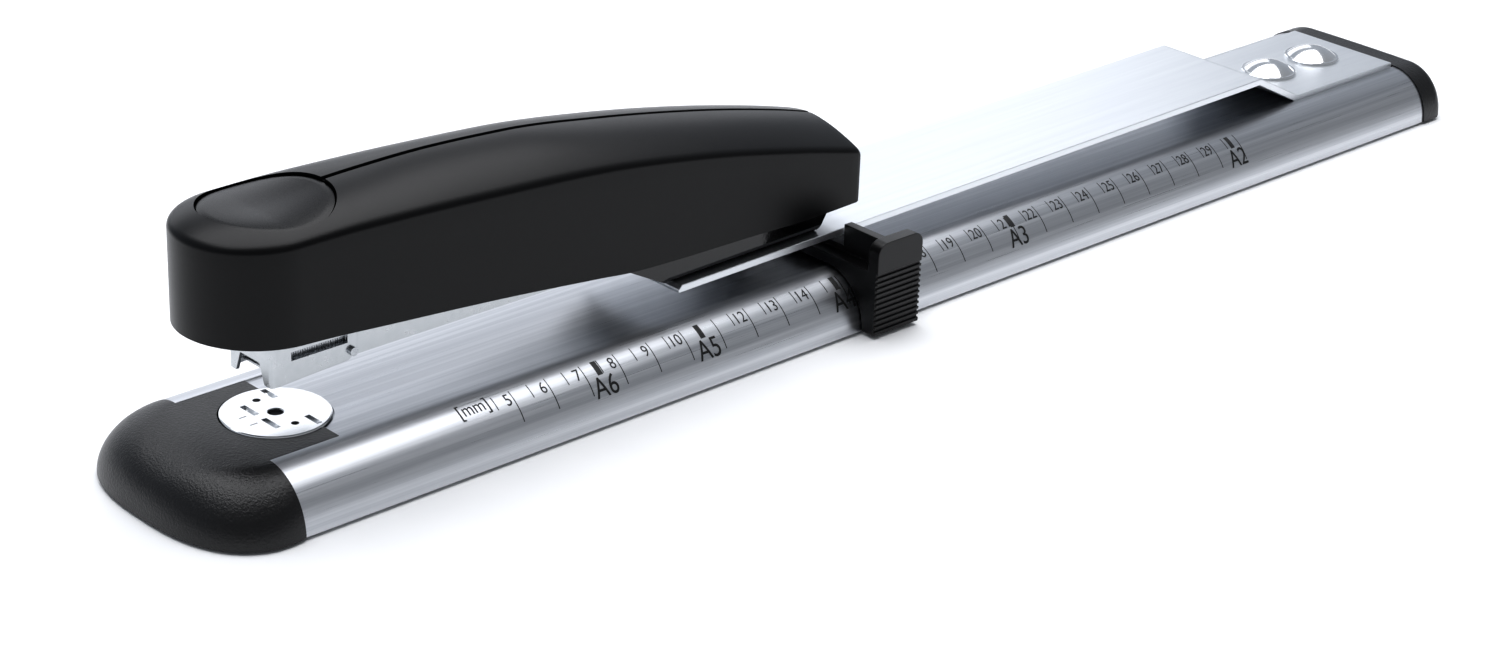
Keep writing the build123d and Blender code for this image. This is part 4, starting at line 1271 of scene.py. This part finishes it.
# ---------------------------------------------------------------- head
@dataclass
class Magazine(SubAssembly):
    """Folded staple channel with its plated nose guide, the staples, and the sprung pusher."""

    sheet: float = 0.8
    corner: float = 1.3
    guide_under: float = 0.3
    guide_corner: tuple[float, float] = (2.5, 1.2)
    guide_fall: float = 1.5
    window: tuple[float, float] = (3.0, 17.5)
    window_rise: tuple[float, float] = (3.9, 5.7)
    leg_top: float = 4.35
    leg_foot: float = 2.75
    arch: float = 4.6
    arch_clear: float = 0.1
    wire: float = 0.6
    pitch: float = 0.6
    wire_bend: float = 0.7
    wire_section: tuple[Spot, ...] = ((-0.27, 0.12), (-0.15, 0.0), (0.15, 0.0), (0.27, 0.12))

    def guide(self) -> Draft:
        """Nose guide: one strip folded round the front with soft corners, tapered, windowed and arched."""
        low, high = self.bench.span("nose_guide")
        under = self.bench.span("magazine_channel")[0].z
        plan = rounded([(high.x, -high.y), (low.x, -high.y), (low.x, high.y), (high.x, high.y)], self.corner, 8)
        wall = Draft().prism(ribbon(plan, self.sheet), Axis.Z, low.z - OVERRUN, high.z + OVERRUN)
        side = [(low.x - OVERRUN, low.z), (low.x, low.z), (high.x - self.guide_corner[0], under - self.guide_under),
                (high.x, under + self.guide_corner[1]), (high.x, high.z - self.guide_fall),
                (low.x, high.z), (low.x - OVERRUN, high.z)]
        left, right = low.y - OVERRUN, high.y + OVERRUN
        guide = wall.joined(Draft().prism(side, Axis.Y, left, right), Join.COMMON)
        sill, head = (under + rise for rise in self.window_rise)
        opening = [(self.window[0], sill), (self.window[1], sill), (self.window[1], head), (self.window[0], head)]
        guide = guide.joined(Draft().prism(opening, Axis.Y, left, right), Join.CUT)
        foot, top = high.y - self.leg_foot, high.y - self.leg_top
        arch = [(-foot, low.z - OVERRUN), (foot, low.z - OVERRUN), (foot, low.z), (top, low.z + self.arch),
                (-top, low.z + self.arch), (-foot, low.z)]
        through = low.x + self.sheet + self.arch_clear
        return guide.joined(Draft().prism(arch, Axis.X, low.x - OVERRUN, through), Join.CUT)

    def staples(self) -> Draft:
        """The strip as single staples side by side, each a bent wire."""
        low, high = self.bench.span("staple_strip")
        strip = Draft()
        corners = [(-high.y, low.z), (-high.y, high.z), (high.y, high.z), (high.y, low.z)]
        line = rounded(corners, self.wire_bend, 4)
        outline = ribbon(line, self.wire)
        for number in range(int((high.x - low.x) / self.pitch)):
            x = low.x + self.pitch * (number + 0.5)
            rows = []
            for across, inset in self.wire_section:
                row = []
                for i, (y, z) in enumerate(outline):
                    mate = outline[len(outline) - 1 - i]
                    pull = inset / self.wire
                    row.append((x + across, y + (mate[0] - y) * pull, z + (mate[1] - z) * pull))
                rows.append(row)
            strip.skin(rows, looped=True)
            for row in (rows[0], rows[-1]):
                strip.ladder(row[:len(line)], row[len(line):][::-1])
        return strip

    def build(self) -> None:
        """Makes the guide, the staples and the sheet parts."""
        set_down = self.bench.set_down
        self.pieces["nose_guide_folded"] = set_down(
            self.guide(), "nose_guide_folded", Body.MAGAZINE, Slot.MAGAZINE_NICKEL, ["nose_guide"], 0.12)
        self.pieces["staples"] = set_down(
            self.staples(), "staples", Body.MAGAZINE, Slot.STAPLE_WIRE, ["staple_strip"])
        self.pieces["channel_folded"] = set_down(
            self.bench.traced("magazine_channel"), "channel_folded", Body.MAGAZINE, Slot.MAGAZINE_NICKEL,
            ["magazine_channel"], 0.12)
        self.pieces["core_folded"] = set_down(
            self.bench.traced("staple_core"), "core_folded", Body.MAGAZINE, Slot.MAGAZINE_NICKEL,
            ["staple_core"], 0.12)
        self.pieces["pusher_moulded"] = set_down(
            self.bench.traced("pusher"), "pusher_moulded", Body.PUSHER, Slot.PUSHER_BLACK, ["pusher"], 0.12)

    def dress(self) -> None:
        """Nickel sheet, galvanised staples, steel rod and spring."""
        self.cover(["nose_guide_folded", "channel_folded", "core_folded"], MAGAZINE_NICKEL)
        self.cover(["staples"], STAPLE_WIRE)
        self.cover(["pusher_moulded"], PUSHER_PLASTIC)
        self.cover(["guide_pins", "pusher_rod"], SMALL_STEEL)
        self.cover(["pusher_spring"], SPRING_STEEL)


@dataclass
class Handle(SubAssembly):
    """Moulded cover with a long groove and a round thumb disc, over the steel lever and its driver blade."""

    reach: float = 153.0
    edge: Profile = Profile(((-0.12, 24.2), (0.0, 23.6), (0.16, 21.7), (0.335, 19.4), (0.52, 16.4), (0.59, 15.2),
                             (0.69, 14.6), (0.83, 14.2), (0.94, 13.7), (1.063, 14.1)))
    crease: Profile = Profile(((-0.12, 46.0), (0.044, 46.1), (0.16, 45.6), (0.335, 44.2), (0.52, 42.3),
                               (0.715, 38.3), (0.923, 32.0), (1.063, 26.9)))
    ridge: Profile = Profile(((-0.12, 49.2), (0.02, 49.9), (0.16, 50.8), (0.25, 51.0), (0.43, 49.8),
                              (0.615, 46.1), (0.817, 40.6), (0.98, 34.9), (1.063, 31.4)))
    fullness: Profile = Profile(((0.0, 3.0), (0.07, 2.8), (0.2, 2.1), (0.33, 1.8), (1.063, 1.65)))
    wall: float = 2.0
    shoulder: float = 1.5
    shoulder_fall: float = 0.75
    end_round: float = 2.2
    groove_half: float = 0.75
    groove_depth: float = 0.8
    groove_fade: float = 4.0
    pad_radius: float = 14.2
    pad_gap: float = 0.45
    pad_drop: float = 0.45
    pad_dish: float = 0.9
    pad_edge: float = 0.045
    pad_edge_drop: float = 0.25
    pad_seat: float = 44.6
    cup_wall: float = 1.6
    cup_floor: float = 1.8
    cup_drop: float = 1.0
    cup_fall: float = 0.6
    ribs: tuple[tuple[float, float], ...] = ((25.0, 32.3), (95.0, 29.7))
    rib_thickness: float = 2.0
    rib_half: float = 11.0

    def nose_centre(self) -> float:
        """Where the round front of the cover has its centre."""
        low, high = self.bench.span("handle_cap")
        return low.x + high.y

    def crown(self, x: float, y: float) -> float:
        """Height of the smooth upper face, without groove or thumb disc.

        Args:
            x: Place along the stapler.
            y: Place across it.

        Returns:
            Height there.
        """
        half = self.bench.span("handle_cap")[1].y
        centre = self.nose_centre()
        along = max(x, centre)
        share = min(1.0, math.hypot(min(0.0, x - centre), y) / half)
        ridge, crease = self.ridge.at(along / self.reach), self.crease.at(along / self.reach)
        return ridge - (ridge - crease) * share ** self.fullness.at(along / self.reach)

    def line(self, x: float, swing: float, inset: float, depth: float, shoulder: float) -> list[Point]:
        """One line of a skin, from its middle out over the shoulder and down to its lower edge.

        Args:
            x: Where the line leaves the centre plane.
            swing: Its direction: 0 to the near side, half a turn to the far side, through the front.
            inset: How far it is drawn in and lowered.
            depth: Depth of the groove in the middle.
            shoulder: Size of the rounding between top and side.

        Returns:
            Points from the middle to the lower edge.
        """
        full = self.bench.span("handle_cap")[1].y
        half = full - inset
        ahead, aside = -math.sin(swing), -math.cos(swing)
        stretch = full / half

        def across(distance: float, drop: float = 0.0) -> Point:
            """Gives a point of the top.

            Args:
                distance: Distance from the middle.
                drop: Depth below the crown.

            Returns:
                The point.
            """
            px, py = x + ahead * distance, aside * distance
            return px, py, self.crown(x + ahead * distance * stretch, py * stretch) - inset - drop

        start = half - shoulder
        spots = [across(0.0, depth), across(self.groove_half * 0.75, depth)]
        spots += [across(distance) for distance in steps(self.groove_half, start, 14)]
        first, corner = across(start), across(half)
        foot = (corner[0], corner[1], corner[2] - shoulder * self.shoulder_fall)
        for t in steps(0, 1, 8)[1:]:
            weights = ((1 - t) ** 2, 2 * t * (1 - t), t * t)
            spots.append(tuple(sum(w * p[i] for w, p in zip(weights, (first, corner, foot))) for i in range(3)))
        low = self.edge.at((x + ahead * half) / self.reach)
        return spots + [(foot[0], foot[1], z) for z in steps(foot[2], low, 6)[1:]]

    def ray(self, x: float, swing: float, inset: float = 0.0) -> list[Point]:
        """One line over the outer skin, round the lower edge, and back up the inner skin.

        Args:
            x: Where the line leaves the centre plane.
            swing: Its direction, as in line.
            inset: How far the outer skin is drawn in, at the rounded rear end.

        Returns:
            Points from the middle of the outer skin to the middle of the inner skin.
        """
        rear = self.bench.span("handle_cap")[1].x - self.wall
        depth = self.groove_depth * min(1.0, max(0.0, (x - self.pad_radius) / self.groove_fade))
        outer = self.line(x, swing, inset, depth, self.shoulder)
        inner = self.line(min(x, rear), swing, self.wall, 0.0, self.wall)
        return outer + inner[::-1]

    def shell(self) -> Draft:
        """The cover's outer and inner skin, with the pocket cut out and the cup and inner ribs added."""
        high = self.bench.span("handle_cap")[1]
        centre = self.nose_centre()
        rear = high.x - self.end_round
        stations = [(x, 0.0) for x in steps(centre, rear, 70)]
        stations += [(rear + self.end_round * math.sin(t), self.end_round * (1 - math.cos(t)))
                     for t in steps(0, math.pi / 2, 6)[1:]]
        near = [self.ray(x, 0.0, inset) for x, inset in reversed(stations)]
        front = [self.ray(centre, swing) for swing in steps(0, math.pi, 48)[1:-1]]
        far = [self.ray(x, math.pi, inset) for x, inset in stations]
        shell = Draft().skin(near + front + far).ladder(near[0], far[-1])
        shell.weld(0.01)
        pad_x = self.pad_centre()
        pocket = self.pad_radius + self.pad_gap
        above = high.z + OVERRUN
        cutter = [(0, self.pad_seat), (pocket, self.pad_seat), (pocket, above), (0, above)]
        shell = shell.joined(Draft().lathe(cutter, (pad_x, 0, 0), 128), Join.CUT)
        shell.take(self.cup(pad_x, pocket))
        for x, foot in self.ribs:
            roof = [(y, self.crown(x, y) - self.wall / 2) for y in steps(self.rib_half, -self.rib_half, 8)]
            outline = [(-self.rib_half, foot), (self.rib_half, foot)] + roof
            shell.take(Draft().prism(outline, Axis.X, x - self.rib_thickness / 2, x + self.rib_thickness / 2))
        return shell

    def pad_centre(self) -> float:
        """Where the thumb disc's middle lies along the stapler."""
        low, high = self.bench.span("thumb_pad")
        return (low.x + high.x) / 2

    def cup(self, pad_x: float, pocket: float) -> Draft:
        """Round cup under the thumb disc.

        Args:
            pad_x: Middle of the disc.
            pocket: Inner radius.

        Returns:
            The cup, whose rim follows the crown from below.
        """
        rows = []
        for turn in steps(0, math.tau, 96)[:-1]:
            dx, dy = math.cos(turn), math.sin(turn)
            outer = pocket + self.cup_wall
            rim = self.crown(pad_x + pocket * dx, pocket * dy) - self.cup_drop
            lower = self.pad_seat - self.cup_floor
            places = ((0, self.pad_seat), (pocket, self.pad_seat), (pocket, rim), (outer, rim - self.cup_fall),
                      (outer, lower), (0, lower))
            rows.append([(pad_x + r * dx, r * dy, z) for r, z in places])
        return Draft().skin(rows + rows[:1])

    def pad(self) -> Draft:
        """Thumb disc: follows the crown, a little lower, and dished for the thumb."""
        pad_x = self.pad_centre()
        rows = []
        for turn in steps(0, math.tau, 96)[:-1]:
            dx, dy = math.cos(turn), math.sin(turn)
            row = []
            for radius in [self.pad_radius * share for share in steps(0, 1, 16)]:
                share = radius / self.pad_radius
                edge = max(0.0, share - 1 + self.pad_edge) / self.pad_edge
                top = self.crown(pad_x + radius * dx, radius * dy) - self.pad_drop
                dish = self.pad_dish * (1 - share ** 2)
                row.append((pad_x + radius * dx, radius * dy, top - dish - self.pad_edge_drop * edge ** 2))
            row.append((pad_x + self.pad_radius * dx, self.pad_radius * dy, self.pad_seat))
            row.append((pad_x, 0, self.pad_seat))
            rows.append(row)
        return Draft().skin(rows + rows[:1])

    def build(self) -> None:
        """Makes the cover, the disc and the lever's sheet parts."""
        set_down = self.bench.set_down
        self.pieces["cover_shell"] = set_down(
            self.shell(), "cover_shell", Body.HANDLE, Slot.COVER_PLASTIC, ["handle_cap"], 0.2, 38.0)
        self.pieces["thumb_disc"] = set_down(
            self.pad(), "thumb_disc", Body.HANDLE, Slot.PAD_PLASTIC, ["thumb_pad"])
        self.pieces["lever_folded"] = set_down(
            self.bench.traced("handle_frame"), "lever_folded", Body.HANDLE, Slot.LEVER_STEEL,
            ["handle_frame"], 0.15)
        self.pieces["blade_ground"] = set_down(
            self.bench.traced("driver_blade"), "blade_ground", Body.HANDLE, Slot.LEVER_STEEL,
            ["driver_blade"], 0.06)

    def dress(self) -> None:
        """Black plastic over zinc-plated steel."""
        self.cover(["cover_shell"], COVER_ABS)
        self.cover(["thumb_disc"], PAD_ABS)
        self.cover(["lever_folded", "blade_ground"], LEVER_STEEL)
        self.cover(["handle_spring"], SPRING_STEEL)


@dataclass
class DepthStop(SubAssembly):
    """Paper stop that slides along the rail, with its ribbed grips and friction leaf."""

    edge: float = 0.2

    def build(self) -> None:
        """Softens the edges of the moulding."""
        self.pieces["stop_moulded"] = self.bench.set_down(
            self.bench.traced("stop_slider"), "stop_moulded", Body.STOP, Slot.STOP_PLASTIC,
            ["stop_slider"], self.edge)

    def dress(self) -> None:
        """Satin polyamide and a steel leaf."""
        self.cover(["stop_moulded"], STOP_PLASTIC)
        self.cover(["stop_spring"], SPRING_STEEL)


# ---------------------------------------------------------------- studio
@dataclass(frozen=True)
class Softbox:
    """A rectangular lamp behind white cloth."""

    name: str
    centre: Point
    target: Point
    width: float
    height: float
    radiance: float
    tint: str

    def hang(self, origin: Vector) -> None:
        """Hangs the lamp.

        Args:
            origin: Point that centre and target count from, in metres.
        """
        light = bpy.data.lights.new(self.name, "AREA")
        light.shape = "RECTANGLE"
        light.size = self.width
        light.size_y = self.height
        light.energy = self.radiance * math.pi * self.width * self.height
        light.color = linear(self.tint)[:3]
        lamp = bpy.data.objects.new(self.name, light)
        bpy.context.scene.collection.objects.link(lamp)
        lamp.location = origin + Vector(self.centre)
        aim = Vector(self.target) - Vector(self.centre)
        lamp.rotation_euler = aim.to_track_quat("-Z", "Y").to_euler()


@dataclass(frozen=True)
class PaleBoard(Finish):
    """Matt white board under the stapler, with a hardly visible tooth."""

    name: str = "matt_white_board"
    light: str = "#fbfbfb"
    dark: str = "#f4f5f6"

    def shade(self, tree: bpy.types.NodeTree) -> bpy.types.Node:
        """Very faint clouds in the white.

        Args:
            tree: Nodes of the material.

        Returns:
            The shader node.
        """
        place = add(tree, "TexCoord")
        tooth = add(tree, "TexNoise", {"Scale": 40.0, "Detail": 3.0}, {"Vector": place.outputs["Object"]})
        tone = add(tree, "Mix", {6: linear(self.dark), 7: linear(self.light)}, {0: tooth.outputs["Fac"]},
                   data_type="RGBA")
        return add(tree, "BsdfPrincipled", {"Roughness": 0.9, "Specular IOR Level": 0.1},
                   {"Base Color": tone.outputs[2]})


@dataclass
class Studio:
    """Floor, lamps, surroundings and camera."""

    bench: Bench
    floor_half: float = 4.0
    room_dark: str = "#8a8c8f"
    room_bright: str = "#9ca1a9"
    lamps: tuple[Softbox, ...] = (
        Softbox("overhead_box", (0.1, 0.25, 1.3), (0.0, 0.0, 0.0), 1.8, 1.3, 3.1, "#fdfdff"),
        # The arm's top mirrors the back box; its flange, further right, mirrors the darker room beside it.
        Softbox("back_box", (0.69, 1.89, 0.7), (-0.58, 0.48, 0.1), 2.4, 0.85, 0.95, "#fafbff"),
    )
    lens: float = 76.06
    heading: float = -44.33
    elevation: float = 24.62
    roll: float = -2.38
    stand: Point = (-346.13, -501.63, 301.93)

    def lay_floor(self) -> None:
        """Lays the board that the feet stand on."""
        low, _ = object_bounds()
        mesh = bpy.data.meshes.new("floor_board")
        board = bmesh.new()
        bmesh.ops.create_grid(board, x_segments=8, y_segments=8, size=self.floor_half)
        board.to_mesh(mesh)
        floor = bpy.data.objects.new("floor_board", mesh)
        floor.location.z = low[2]
        mesh.materials.append(PaleBoard().material())
        bpy.context.scene.collection.objects.link(floor)
        floor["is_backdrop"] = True

    def light(self) -> None:
        """Hangs the lamps and sets the room's own brightness."""
        low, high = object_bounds()
        origin = Vector(((low[0] + high[0]) / 2, (low[1] + high[1]) / 2, low[2]))
        for lamp in self.lamps:
            lamp.hang(origin)
        world = bpy.data.worlds.new("studio_room")
        world.use_nodes = True
        tree = world.node_tree
        tree.nodes.clear()
        # The room is dark behind the camera and bright behind the stapler.
        where = add(tree, "TexCoord")
        axes = add(tree, "SeparateXYZ", links={0: where.outputs["Generated"]})
        share = add(tree, "MapRange", {"From Min": -0.7, "From Max": 0.6}, {"Value": axes.outputs["Y"]},
                    interpolation_type="SMOOTHSTEP")
        shade = add(tree, "Mix", {6: linear(self.room_dark), 7: linear(self.room_bright)}, {0: share.outputs[0]},
                    data_type="RGBA")
        glow = add(tree, "Background", links={"Color": shade.outputs[2]})
        add(tree, "OutputWorld", links={"Surface": glow.outputs[0]})
        bpy.context.scene.world = world
        bpy.context.scene.view_settings.view_transform = "Standard"
        bpy.context.scene.view_settings.look = "Medium High Contrast"

    def aim(self) -> None:
        """Stands the camera beside the nose, looking along the rail."""
        turn, tilt, roll = (math.radians(value) for value in (self.heading, self.elevation, self.roll))
        right = Vector((math.cos(turn), math.sin(turn), 0))
        back = Vector((math.sin(turn) * math.cos(tilt), -math.cos(turn) * math.cos(tilt), math.sin(tilt)))
        up = back.cross(right)
        side = math.cos(roll) * right - math.sin(roll) * up
        head = math.sin(roll) * right + math.cos(roll) * up
        lens = bpy.data.cameras.new("studio_camera")
        lens.lens = self.lens
        camera = bpy.data.objects.new("studio_camera", lens)
        bpy.context.scene.collection.objects.link(camera)
        place = Vector((self.bench.staple_x, 0, self.bench.crest_z)) + Vector(self.stand) * MM
        camera.matrix_world = Matrix.Translation(place) @ Matrix((side, head, back)).transposed().to_4x4()
        bpy.context.scene.camera = camera


def write_sizes() -> None:
    """Turns the CAD box and the visual model's box into plain lists of numbers."""
    both = {"cad": cad_box, "visual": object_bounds()}
    plain = {name: [[float(value) for value in corner] for corner in box] for name, box in both.items()}


def main() -> None:
    """Builds and dresses the stapler from the base up, then sets up the studio."""
    logging.basicConfig(level=logging.INFO, format="%(name)s: %(message)s")
    bench = Bench.from_frame()
    rail = Rail(bench)
    parts: list[SubAssembly] = [rail]
    rail.build()
    rail.dress()
    for part in (Scale(bench, shoulders=rail.shoulders()), EndCaps(bench), Anvil(bench), Arm(bench),
                 Magazine(bench), Handle(bench), DepthStop(bench)):
        part.build()
        part.dress()
        parts.append(part)
    studio = Studio(bench)
    studio.lay_floor()
    studio.light()
    studio.aim()
    write_sizes()
    LOG.info("%d pieces built", sum(len(part.pieces) for part in parts))


if __name__ == "__main__":
    main()
